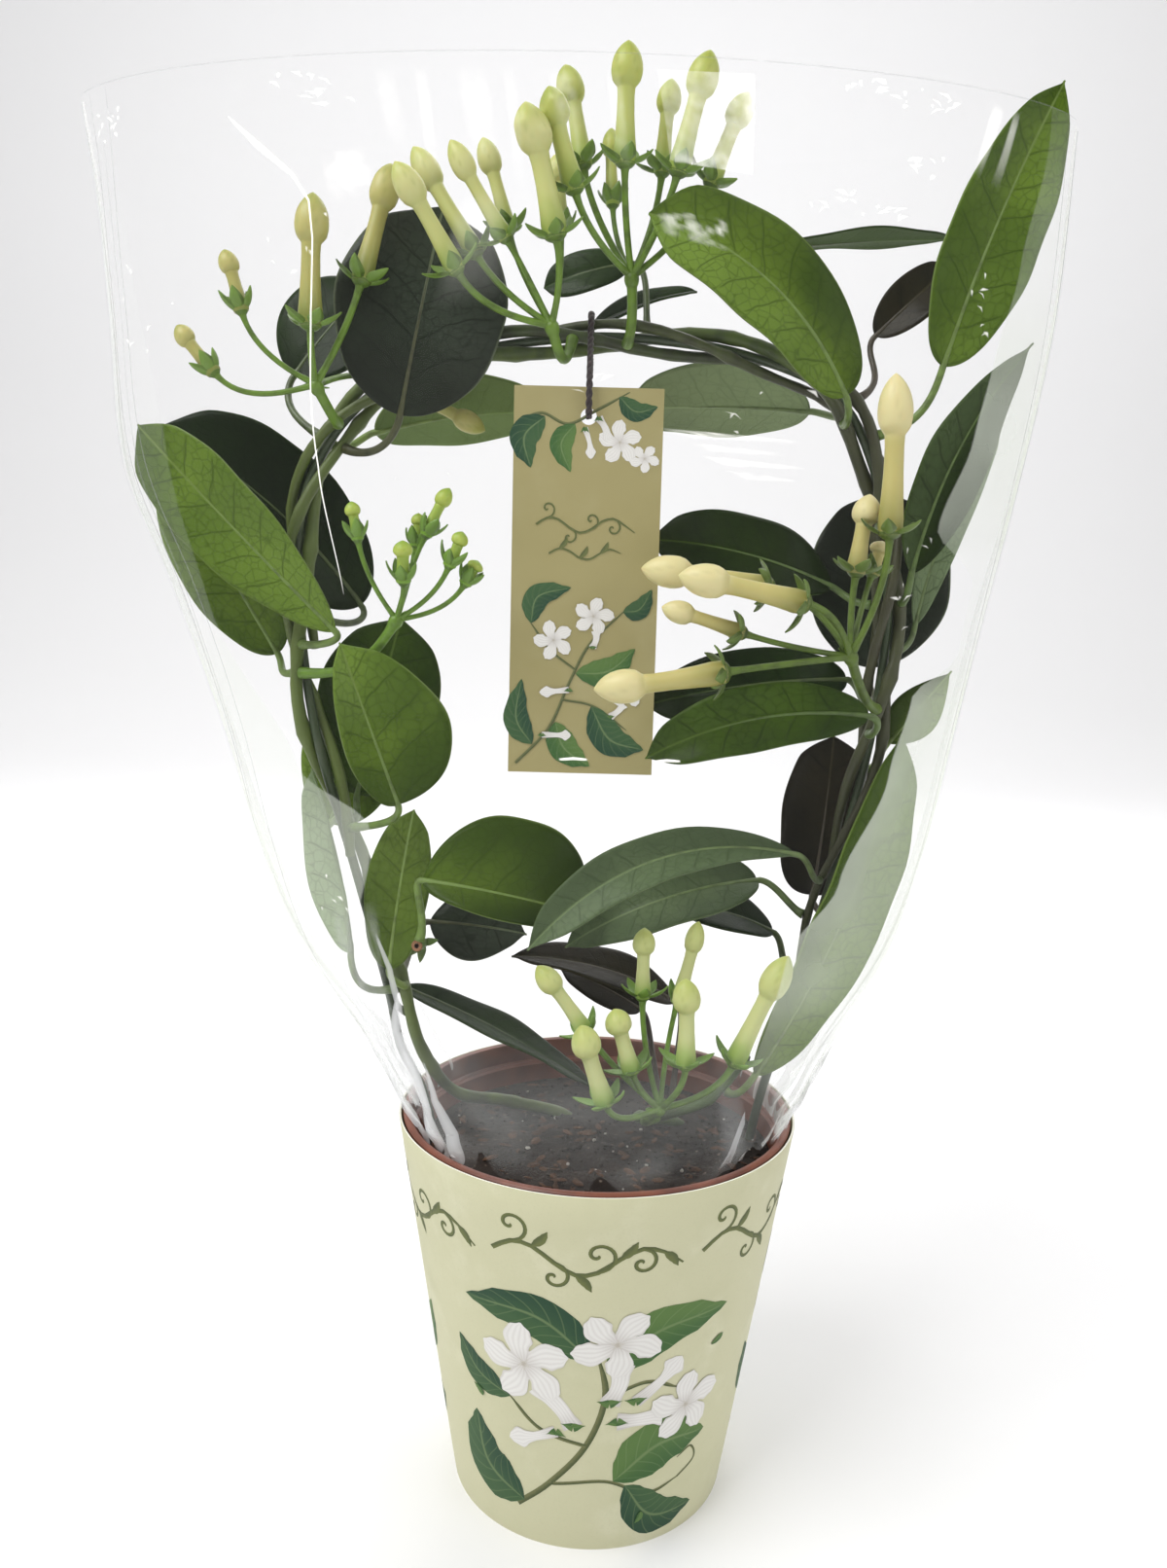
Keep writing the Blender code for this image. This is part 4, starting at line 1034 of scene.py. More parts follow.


# leaves in mm. via: where the stalk swings out. base and tip: ends of the blade. face: the way
# the upper side looks. arch, side: bow of the midrib. fold: rise of the edges. twist: degrees.
# look: its tone where that isn't the one of its slot. shade: painted light (painted shade, below 0) laid on
# its colour at its base, its tip, its left half and its right half
leafUsual = dict(
    arch=2, fold=3, side=0, belly=0, blunt=0.52, twist=0, halves=(1, 1), shade=(0, 0, 0, 0))
leafSpecs = {
    "leaf_left_crown": dict(
        via=(-73, -8, 333), base=(-65, -9, 347), tip=(-53, -6, 407), width=50, face=(0.1, -1, 0.15), arch=3,
        tone="black", shade=(-0.3, 0.5, 0, 0.15)),
    "leaf_left_crown_back": dict(
        via=(-104, 12, 348), base=(-103, 18, 362), tip=(-80, 26, 392), width=34, face=(-0.2, -1, 0.3),
        fold=2, tone="dark", shade=(0, 0.3, 0, 0)),
    "leaf_left_under_band": dict(
        via=(-84, 16, 338), base=(-77, 18, 345), tip=(-22, 20, 353), width=30, face=(0.1, 0.6, 0.8), arch=3,
        tone="light", shade=(0.1, 0, 0.1, 0)),
    "leaf_left_shoulder_back": dict(
        via=(-90, 10, 281), base=(-83, 24, 290), tip=(-145, 12, 344), width=40, face=(0.25, -1, 0.3),
        arch=5, fold=4, side=4, tone="dark", shade=(-0.1, -0.3, 0, 0)),
    "leaf_left_shoulder_mid": dict(
        via=(-106, 2, 266), base=(-107, 8, 274), tip=(-138, 1, 331), width=28, face=(0, -1, 0),
        tone="middle", look="bright", shade=(-0.3, 0.35, 0.2, 0)),
    "leaf_left_shoulder": dict(
        via=(-92, -10, 277), base=(-84, -13, 282), tip=(-144, -9, 342), width=27, face=(-0.35, -1, 0.1),
        fold=4, belly=0.3, tone="bright", shade=(0.45, 0, 0, 0.12)),
    "leaf_left_waist": dict(
        via=(-69, -12, 222), base=(-64, -18, 230), tip=(-81, -22, 279), width=46, face=(0.15, -1, 0.1),
        arch=3, fold=5, belly=-0.4, halves=(0.4, 1), tone="bright", shade=(-0.55, 0.35, 0.35, 0)),
    "leaf_left_waist_back": dict(
        via=(-80, 8, 221), base=(-82, 12, 228), tip=(-68, 14, 286), width=40, face=(0, -1, 0.1),
        tone="middle", shade=(0.15, -0.3, 0, 0)),
    "leaf_left_waist_rear": dict(
        via=(-92, 12, 218), base=(-92, 17, 217), tip=(-74, 20, 268), width=34, face=(0, -1, 0.1), fold=2,
        tone="middle", look="bright", shade=(0, 0.2, 0.2, 0)),
    "leaf_left_knee": dict(
        via=(-79, -3, 163), base=(-81, -6, 179), tip=(-94, -3, 238), width=21, face=(-0.75, -0.65, 0),
        arch=-2, fold=6, belly=-0.2, tone="hazy", shade=(0.75, 0.1, 0.5, -0.35)),
    "leaf_left_knee_front": dict(
        via=(-63, -6, 168), base=(-68, -9, 175), tip=(-61, -4, 226), width=21, face=(-0.2, -1, 0.1),
        tone="light", shade=(0, 0.2, 0.1, 0)),
    "leaf_low_left_round": dict(
        via=(-54, -17, 195), base=(-56, -17, 206), tip=(-4, -10, 194), width=50, face=(0, -0.9, 0.45),
        arch=5, halves=(1, 0.35), tone="bright", shade=(-0.05, -0.85, -0.1, -0.4)),
    "leaf_low_long": dict(
        via=(66, -6, 206), base=(60, -10, 216), tip=(-23, -29, 188), width=16, face=(-0.1, -0.9, 0.5),
        arch=8, side=11, belly=0.3, tone="hazy", shade=(-0.2, -0.1, 0.2, -0.25)),
    "leaf_low_long_under": dict(
        via=(62, 6, 194), base=(51, 9, 203), tip=(-12, 3, 180), width=25, face=(0, -0.7, 0.7), arch=9,
        fold=4, belly=-0.3, tone="dark", look="hazy", shade=(-0.25, 0, 0, -0.35)),
    "leaf_low_right_under": dict(
        via=(60, 12, 172), base=(58, 15, 184), tip=(24, 12, 193), width=20, face=(0, -0.5, 0.9), arch=3,
        fold=2, tone="dark"),
    "leaf_low_left_back": dict(
        via=(-64, 14, 172), base=(-58, 16, 184), tip=(-25, 14, 181), width=26, face=(0, -0.8, 0.6), fold=2,
        belly=-0.2, blunt=0.8, tone="hazy", look="black", shade=(-0.2, 0.5, 0.1, 0.3)),
    "leaf_low_back_twisted": dict(
        via=(28, 24, 143), base=(26, 20, 157), tip=(-30, 12, 174), width=18, face=(0, -0.6, 0.8), arch=7,
        fold=2, twist=25, tone="brown"),
    "leaf_low_back_small": dict(
        via=(18, 32, 138), base=(15, 31, 150), tip=(-14, 24, 167), width=15, face=(0, -0.7, 0.7), fold=2,
        tone="brown"),
    "leaf_low_left_narrow": dict(
        via=(-72, 12, 156), base=(-66, 12, 162), tip=(-1, 2, 132), width=16, face=(0.1, -0.35, 1), arch=3,
        fold=2, twist=-20, tone="dark", shade=(0.3, 0.1, 0, 0.3)),
    "leaf_right_tip": dict(
        via=(94, -2, 349), base=(98, -4, 366), tip=(129, -1, 448), width=29, face=(0.15, -1, 0), arch=3,
        fold=4, side=-3, belly=-0.3, tone="bright", shade=(0.10, -0.15, 0, 0.12)),
    "leaf_top_arched": dict(
        via=(69, -9, 347), base=(67, -14, 355), tip=(7, -22, 402), width=31, face=(0.3, -1, 0.25), arch=5,
        side=7, belly=0.1, blunt=0.36, tone="bright", shade=(-0.30, 0, 0.45, -0.25)),
    "leaf_top_flat_back": dict(
        via=(52, 14, 384), base=(48, 17, 404), tip=(104, 16, 408), width=18, face=(0, 0.05, 1), arch=1,
        fold=1, tone="dark"),
    "leaf_right_crown_small": dict(
        via=(87, 10, 364), base=(81, 14, 378), tip=(103, 15, 399), width=15, face=(0.2, -0.9, 0.4),
        tone="brown"),
    "leaf_right_under_band": dict(
        via=(70, 14, 352), base=(62, 18, 355), tip=(3, 24, 355), width=32, face=(0, 0.6, 0.8), tone="light",
        look="hazy", shade=(0.2, 0, 0.2, 0)),
    "leaf_right_inner_upper": dict(
        via=(77, 8, 294), base=(70, 10, 300), tip=(12, 12, 313), width=28, face=(0, -0.8, 0.6), arch=5,
        tone="middle", look="deep", shade=(-0.3, 0.1, 0, 0.1)),
    "leaf_right_back_dark": dict(
        via=(88, 16, 262), base=(86, 18, 274), tip=(89, 21, 331), width=46, face=(0, -1, 0.1), tone="black"),
    "leaf_right_shoulder": dict(
        via=(92, -4, 296), base=(92, -6, 304), tip=(126, 0, 374), width=21, face=(0.2, -1, 0), side=-6,
        belly=-0.45, blunt=0.72, tone="middle", look="deep", shade=(0.35, 0.45, 0.4, -0.5)),
    "leaf_right_shoulder_back": dict(
        via=(96, 6, 280), base=(98, 9, 288), tip=(120, 6, 352), width=12, face=(0.1, -1, 0), fold=2,
        side=-4, blunt=0.66, tone="hazy", shade=(0.2, 0.3, 0, 0.2)),
    "leaf_right_inner_front": dict(
        via=(82, -12, 254), base=(78, -20, 261), tip=(11, -25, 247), width=20, face=(0, -1, 0.3), arch=3,
        side=5, tone="middle", shade=(0, 0.15, 0, 0.15)),
    "leaf_right_inner_back": dict(
        via=(82, 9, 264), base=(77, 10, 270), tip=(12, 9, 260), width=23, face=(0, -0.9, 0.4), arch=7,
        tone="dark", shade=(-0.1, 0.1, 0, 0)),
    "leaf_right_waist_small": dict(
        via=(88, 6, 242), base=(91, 6, 250), tip=(109, 3, 274), width=15, face=(0, -1, 0.2), arch=1, fold=1,
        belly=-0.35, blunt=0.95, tone="middle", look="light", shade=(0, 0.1, -0.8, 0.75)),
    "leaf_right_low_long": dict(
        via=(45, -10, 134), base=(51, -10, 143), tip=(93, -4, 254), width=27, face=(0.5, -1, 0), arch=3,
        fold=4, side=5, tone="hazy", look="bright", shade=(0.1, 0.1, -0.4, 0.3)),
    "leaf_right_back_brown": dict(
        via=(76, 12, 190), base=(71, 16, 197), tip=(75, 14, 251), width=30, face=(0.1, -1, 0), fold=2,
        blunt=0.36, tone="brown", shade=(-0.2, 0, 0, 0)),
    "leaf_top_middle_back": dict(
        via=(8, 12, 386), base=(3, 16, 398), tip=(-24, 20, 391), width=15, face=(0, -1, 0.4), fold=1,
        tone="middle", look="dark", shade=(0.1, 0.5, 0, 0.1)),
    "leaf_top_middle_low": dict(
        via=(-13, 15, 374), base=(-8, 23, 380), tip=(25, 23, 392), width=13, face=(0, -0.5, 0.85), fold=2,
        tone="dark"),
}

# for each tone: upper side, its dark clouds, veins, underside, stalk, and how glossy
leafTones = {
    "bright": ((0.114, 0.186, 0.018), (0.037, 0.074, 0.005), (0.150, 0.220, 0.050),
               (0.19, 0.26, 0.075), (0.14, 0.22, 0.04), 0.14),
    "light": ((0.095, 0.148, 0.019), (0.050, 0.088, 0.010), (0.200, 0.280, 0.090),
              (0.15, 0.22, 0.07), (0.17, 0.25, 0.05), 0.10),
    "middle": ((0.042, 0.082, 0.004), (0.014, 0.032, 0.002), (0.085, 0.140, 0.024),
               (0.12, 0.18, 0.045), (0.09, 0.15, 0.03), 0.14),
    # this tone greys the green: the film's white haze in front of these leaves, painted into their colour
    "hazy": ((0.135, 0.186, 0.090), (0.076, 0.112, 0.052), (0.150, 0.205, 0.095),
             (0.20, 0.26, 0.13), (0.13, 0.19, 0.06), 0.12),
    "deep": ((0.018, 0.038, 0.002), (0.007, 0.016, 0.001), (0.055, 0.095, 0.015),
             (0.10, 0.15, 0.04), (0.09, 0.15, 0.03), 0.14),
    "dark": ((0.013, 0.029, 0.004), (0.005, 0.012, 0.002), (0.034, 0.060, 0.014),
             (0.07, 0.11, 0.035), (0.06, 0.09, 0.02), 0.14),
    "black": ((0.026, 0.036, 0.022), (0.013, 0.016, 0.010), (0.150, 0.180, 0.110),
              (0.06, 0.085, 0.035), (0.06, 0.065, 0.02), 0.18),
    "brown": ((0.030, 0.025, 0.013), (0.013, 0.011, 0.007), (0.050, 0.044, 0.022),
              (0.06, 0.06, 0.03), (0.06, 0.045, 0.025), 0.18),
}
leafShape = {
    "thick": 0.0006, "rows": 44, "columns": 16, "stalk": 0.00125, "pointed": 0.14,
    "ripple": 0.00050, "rippleLength": 0.034, "groove": 0.00040, "roll": 0.0006,
}


def leafFinish(name, upper, clouds, veinColour, gloss, under=False):
    # marks: x along the midrib, y across it, both in cm, z from 0 at the midrib to 1 at the edge
    skin = Finish(name, Coat_Weight=gloss * (0.2 if under else 0.7), Coat_Roughness=0.4 if under else 0.17,
                  Specular_IOR_Level=0.05)
    both, (along, across, edge) = skin.marks("marks")
    _, (lift, _, _) = skin.marks("shade")
    away = abs(across)
    wobble = skin.noise(90.0, 2.0) - 0.5
    midrib = 1 - skin.step(away, 0.02, 0.06)
    side = skin.maths("PINGPONG", along * 0.95 - away * 0.75 + away * away * 0.12 + wobble * 0.5, 0.5)
    sideVeins = (1 - skin.step(side, 0.0, 0.06)) * (1 - skin.step(edge, 0.78, 0.95))
    net = skin.node(
        "ShaderNodeTexVoronoi", {"feature": "DISTANCE_TO_EDGE"}, {"Vector": both, "Scale": 2.9}
    )
    netVeins = 1 - skin.step(net, 0.0, 0.075)
    veins = skin.maths("MAXIMUM", sideVeins * 0.8, netVeins * 0.6)
    cloud = skin.step(skin.noise(26.0, 3.0) + edge * 0.12, 0.36, 0.70)
    fine = skin.noise(1100.0, 2.0)
    colour = skin.mix(upper, clouds, cloud * 0.80)
    # painted shade where the leaf's shade mark is below 0, and painted light where it is above 0
    colour = skin.mix(colour, toned(clouds, 0.45), skin.maths("MAXIMUM", lift * -1.0, 0.0))
    colour = skin.mix(colour, toned(upper, 1.55, 0.025), skin.maths("MAXIMUM", lift, 0.0))
    colour = skin.mix(colour, toned(clouds, 0.55), veins * (0.30 if under else 0.74))
    colour = skin.mix(colour, veinColour, midrib * 0.85)
    colour = skin.mix(colour, veinColour, skin.step(edge, 0.965, 1.0) * 0.7)
    skin.paint(
        Base_Color=colour, Roughness=(0.50 if under else 0.34) + fine * 0.12 + cloud * 0.05,
        Normal=skin.bump(veins * -0.5 + midrib * (1.0 if under else -0.8) + fine * 0.10, 0.35, 0.0006),
    )
    return skin


def leafHalfWidth(spec, share):
    belly = spec["belly"]
    end = max(0.0, (share - 1 + leafShape["pointed"]) / leafShape["pointed"])
    share = share ** (1 + belly) if belly > 0 else 1 - (1 - share) ** (1 - belly)
    body = max(4 * share * (1 - share), 0.0) ** spec["blunt"]
    return max(spec["width"] * mm / 2 * body * (1 - end * end) ** 0.75, 0.00025)


def leafLine(spec, stems, stalkSteps, shares):
    via, base, tip = metres(spec["via"]), metres(spec["base"]), metres(spec["tip"])
    face = Vector(spec["face"]).normalized()
    axis = (tip - base).normalized()
    face = (face - axis * face.dot(axis)).normalized()
    bow = face * 2 * spec["arch"] * mm + axis.cross(face) * 2 * spec["side"] * mm
    control = (base + tip) / 2 + bow
    foot = seatOnStem(stems, via, stemDesign["seatGap"])
    stalk = bentStalk(foot, via, base, control - base, stalkSteps)
    blade = [base * (1 - u) ** 2 + control * 2 * u * (1 - u) + tip * u * u for u in shares]
    along = directions(blade)
    start = along[0].cross(face).normalized()
    return stalk, blade, along, carried(start, along)


def addLeaf(name, spec, stems, finishes):
    count = leafShape["rows"]
    shares = [0.5 - 0.5 * math.cos(math.pi * i / count) for i in range(count + 1)]
    stalk, blade, along, sides = leafLine(spec, stems, 16, shares)
    chance = random.Random(name)
    phase = chance.uniform(0, 6)
    columns = leafShape["columns"]
    lengths = lengthsAlong(blade)
    rows, tags, ribs, paintedLightAndShade = [], [], [], []
    keptLeft, keptRight = spec["halves"]
    atBase, atTip, onLeft, onRight = spec["shade"]
    for i, share in enumerate(shares):
        half = leafHalfWidth(spec, share)
        fold = spec["fold"] * mm * min(1.0, 2 * half / (spec["width"] * mm))
        side = Matrix.Rotation(math.radians(spec["twist"]) * share, 3, along[i]) @ sides[i]
        up = side.cross(along[i])
        row, tag = [], []
        for c in range(columns + 1):
            across = 2 * c / columns - 1
            across = math.copysign(abs(across) ** 0.9, across)
            reach = abs(across)
            rise = fold * (0.55 * reach + 0.45 * reach ** 2)
            rise -= leafShape["groove"] * hump(across * half, 0, 0.0011)
            rise -= leafShape["roll"] * reach ** 8 * min(1.0, half / 0.006)
            turn = math.tau * lengths[i] / leafShape["rippleLength"] + phase
            wave = math.sin(turn + (2.1 if across < 0 else 0))
            rise += leafShape["ripple"] * wave * reach ** 2 * min(1.0, half / 0.008)
            wander = 1 + 0.015 * math.sin(lengths[i] * 260 + phase * 2 + (1.7 if across < 0 else 0)) * reach
            part = keptLeft if across < 0 else keptRight
            row.append(blade[i] + side * half * part * across * wander + up * rise)
            tag.append((lengths[i] * 100, across * half * part * 100, reach))
            # painted light and shade, from the leaf's base to its tip and from its left half to its right
            sway = 0.5 + 0.5 * math.tanh(across * 3.2)
            fade = between(share + 0.10 * math.sin(3 * across + phase), 0, 1)
            paintedLightAndShade += (atBase + (atTip - atBase) * fade + onLeft + (onRight - onLeft) * sway, 0.0, 0.0)
        rows.append(row)
        tags.append(tag)
        ribs.append(blade[i] - up * (leafShape["thick"] * 0.6))
    pile = Pile()
    pile.grid(rows, tags, ink=0)
    mesh = pile.mesh(name, closed=False)
    mesh.attributes.new("shade", "FLOAT_VECTOR", "POINT").data.foreach_set("vector", paintedLightAndShade)
    title = titleOf(name)
    leaf = addPiece(title, mesh, finishes, [name])
    if mesh.polygons[len(mesh.polygons) // 2].normal.dot(Vector(spec["face"])) < 0:
        mesh.flip_normals()
    solid = leaf.modifiers.new("Thickness", "SOLIDIFY")
    solid.thickness = leafShape["thick"]
    solid.offset = 0.0
    solid.material_offset = 1
    solid.use_even_offset = True
    # the stalk runs on under the blade as a raised midrib
    under = [i for i, share in enumerate(shares) if 0.02 < share < 0.93]
    route = stalk[:-1] + [ribs[i] for i in under]
    radii = []
    swell = leafShape["stalk"] * (0.85 if spec["width"] < 20 else 1.0)
    for i in range(len(stalk) - 1):
        radii.append(swell * (1.0 + 0.35 * max(0.0, 1 - i / 3) - 0.15 * i / len(stalk)))
    for i in under:
        radii.append(swell * (0.62 * (1 - shares[i]) ** 1.2 + 0.10) * (1.0 if shares[i] > 0.06 else 1.15))
    stem = Pile()
    stem.grid(rings(route, radii, 12), around=True, capped=True)
    title += "Stalk"
    addPiece(title, stem.mesh(title), [finishes[2]])


def addLeaves(stems):
    looks = {}
    for tone, (upper, clouds, veins, under, stalk, gloss) in leafTones.items():
        name = tone[0].upper() + tone[1:]
        stalkSkin = Finish("stalk" + name, Coat_Weight=0.15, Coat_Roughness=0.3)
        grain = stalkSkin.noise(300.0, 3.0)
        stalkSkin.paint(
            Base_Color=stalkSkin.mix(stalk, toned(stalk, 0.55), stalkSkin.step(grain, 0.4, 0.75)),
            Roughness=0.42 + grain * 0.15, Normal=stalkSkin.bump(grain, 0.2, 0.0004),
        )
        darker = toned(under, 0.75)
        paler = toned(under, 1.35)
        looks[tone] = [
            leafFinish("leafUpper" + name, upper, clouds, veins, gloss),
            leafFinish("leafUnder" + name, under, darker, paler, gloss, under=True),
            stalkSkin,
        ]
    for name, spec in leafSpecs.items():
        addLeaf(name, {**leafUsual, **spec}, stems, looks[spec.get("look", spec["tone"])])


# flower heads in mm: the fork of each, how its stalk reaches the vine, then its buds.
# each bud is its calyx, its tip and the radius of its swollen head. opening: buds about to open.
# look: the base of the tube, tube, head, tip and the green of the stalks
umbelSpecs = {
    "flowers_left_top": dict(
        fork=(-88, -20, 353), via=(-82, -14, 341), tone="cream",
        look=((0.22, 0.25, 0.04), (0.38, 0.36, 0.10), (0.46, 0.43, 0.14), (0.30, 0.32, 0.05),
              (0.115, 0.215, 0.010)),
        buds=(
            ((-116, -24, 355), (-127, -23, 368), 3.2), ((-108, -24, 372), (-113, -23, 389), 3.2),
            ((-88, -26, 368), (-87, -26, 404), 5.4), ((-75, -19, 382), (-67, -14, 416), 4.8),
            ((-66, 7, 357), (-41, 9, 345), 3.8))),
    "flowers_top_left": dict(
        fork=(-20, -16, 372), via=(-16, -12, 358), tone="cream", opening=(4,),
        look=((0.30, 0.38, 0.07), (0.52, 0.54, 0.19), (0.58, 0.58, 0.24), (0.44, 0.48, 0.11),
              (0.120, 0.220, 0.012)),
        buds=(
            ((-47, -22, 385), (-64, -28, 412), 4.6), ((-42, -17, 391), (-61, -13, 421), 4.4),
            ((-33, -22, 394), (-49, -25, 419), 3.8), ((-33, -14, 398), (-41, -13, 424), 3.8),
            ((-19, -25, 394), (-28, -29, 428), 5.6), ((-18, -12, 399), (-20, -10, 421), 3.4))),
    "flowers_top_middle": dict(
        fork=(3, -12, 387), via=(4, -10, 373), tone="cream", opening=(0,),
        look=((0.29, 0.38, 0.06), (0.45, 0.49, 0.13), (0.44, 0.48, 0.11), (0.30, 0.36, 0.035),
              (0.120, 0.220, 0.011)),
        buds=(
            ((-14, -20, 408), (-22, -24, 434), 5.0), ((-12, -6, 419), (-18, -3, 448), 4.6),
            ((0, -18, 416), (0, -20, 448), 5.0), ((-3, -4, 409), (-4, 0, 432), 3.0),
            ((11, -8, 417), (13, -8, 443), 4.0), ((15, -18, 414), (23, -20, 446), 5.0),
            ((25, -12, 413), (35, -13, 438), 4.4))),
    "flowers_left_young": dict(
        fork=(-64, -22, 286), via=(-76, -14, 268), tone="lime",
        look=((0.16, 0.31, 0.02), (0.32, 0.45, 0.06), (0.40, 0.50, 0.08), (0.24, 0.37, 0.03),
              (0.115, 0.230, 0.010)),
        buds=(
            ((-75, -24, 309), (-77, -24, 320), 2.6), ((-56, -18, 311), (-49, -18, 325), 2.8),
            ((-60, -12, 308), (-59, -11, 318), 2.4), ((-61, -28, 297), (-61, -30, 309), 3.2),
            ((-48, -27, 302), (-44, -28, 312), 2.8), ((-44, -21, 297), (-40, -21, 304), 2.8))),
    "flowers_right": dict(
        fork=(70, -28, 279), via=(77, -18, 264), tone="cream",
        look=((0.30, 0.28, 0.07), (0.50, 0.445, 0.155), (0.69, 0.62, 0.31), (0.68, 0.61, 0.30),
              (0.092, 0.155, 0.009)),
        buds=(
            ((79, -29, 314), (78, -29, 359), 5.6), ((71, -24, 303), (74, -23, 326), 4.6),
            ((77, -18, 303), (80, -17, 313), 3.6), ((55, -36, 294), (18, -38, 301), 5.4),
            ((46, -26, 298), (8, -25, 303), 5.4), ((38, -31, 285), (14, -31, 292), 3.8),
            ((33, -35, 274), (-5, -37, 268), 5.6))),
    "flowers_low": dict(
        fork=(19, -28, 138), via=(12, -22, 129), tone="cream",
        look=((0.28, 0.41, 0.07), (0.54, 0.58, 0.25), (0.52, 0.56, 0.21), (0.42, 0.48, 0.12),
              (0.130, 0.250, 0.018)),
        buds=(
            ((-4, -26, 161), (-20, -25, 182), 4.2), ((2, -37, 143), (-6, -38, 168), 5.0),
            ((10, -31, 151), (4, -31, 171), 4.6), ((13, -20, 171), (13, -18, 193), 4.0),
            ((24, -18, 169), (30, -16, 195), 3.4), ((26, -33, 154), (25, -34, 182), 4.8),
            ((41, -30, 154), (56, -31, 189), 5.0))),
}
budShape = {
    "tube": ((0.0, 0.62), (0.03, 0.70), (0.10, 0.72), (0.22, 0.64), (0.40, 0.56), (0.55, 0.54), (0.61, 0.57)),
    "head": ((0.63, 0.62), (0.65, 0.74), (0.68, 0.88), (0.72, 0.97), (0.76, 1.0), (0.81, 0.97), (0.86, 0.88),
             (0.90, 0.75), (0.935, 0.58), (0.965, 0.38), (0.988, 0.17), (1.0, 0.012)),
    "around": 30, "plump": 0.90, "shoulder": 0.07, "seam": 0.045, "seamTwist": 2.4,
    "pedicel": 0.00098, "peduncle": 0.00150, "fork": 0.0021,
    "sepal": 0.0078, "sepalWidth": 0.0050, "sepalThick": 0.00045,
}


def budFinish(name, base, tube, head, tip):
    # marks: x runs from 0 at the calyx to 1 at the tip, y goes once round, z is 1 along the seams
    skin = Finish(name, Subsurface_Weight=0.12, Subsurface_Scale=0.004, Coat_Weight=0.08, Coat_Roughness=0.4)
    _, (along, _, seam) = skin.marks("marks")
    patch = skin.noise(140.0, 3.0)
    fine = skin.noise(1300.0, 2.0)
    colour = skin.mix(base, tube, skin.step(along + (patch - 0.5) * 0.2, 0.02, 0.38))
    colour = skin.mix(colour, head, skin.step(along, 0.55, 0.72))
    colour = skin.mix(colour, tip, skin.step(along + (patch - 0.5) * 0.15, 0.78, 1.0))
    colour = skin.mix(colour, toned(tip, 0.72), seam * 0.35)
    skin.paint(
        Base_Color=colour, Roughness=0.42 + patch * 0.12,
        Normal=skin.bump(fine * 0.4 + patch * 0.5, 0.12, 0.0003),
    )
    return skin


def greenFinish(name, green):
    skin = Finish(name, Coat_Weight=0.12, Coat_Roughness=0.35)
    _, (_, across, _) = skin.marks("marks")
    patch = skin.noise(260.0, 3.0)
    colour = skin.mix(green, toned(green, 0.6), skin.step(patch, 0.38, 0.72))
    colour = skin.mix(colour, toned(green, 1.6, 0.03), skin.step(across, 0.16, 0.2) * 0.6)
    skin.paint(Base_Color=colour, Roughness=0.40 + patch * 0.15, Normal=skin.bump(patch, 0.2, 0.0003))
    return skin


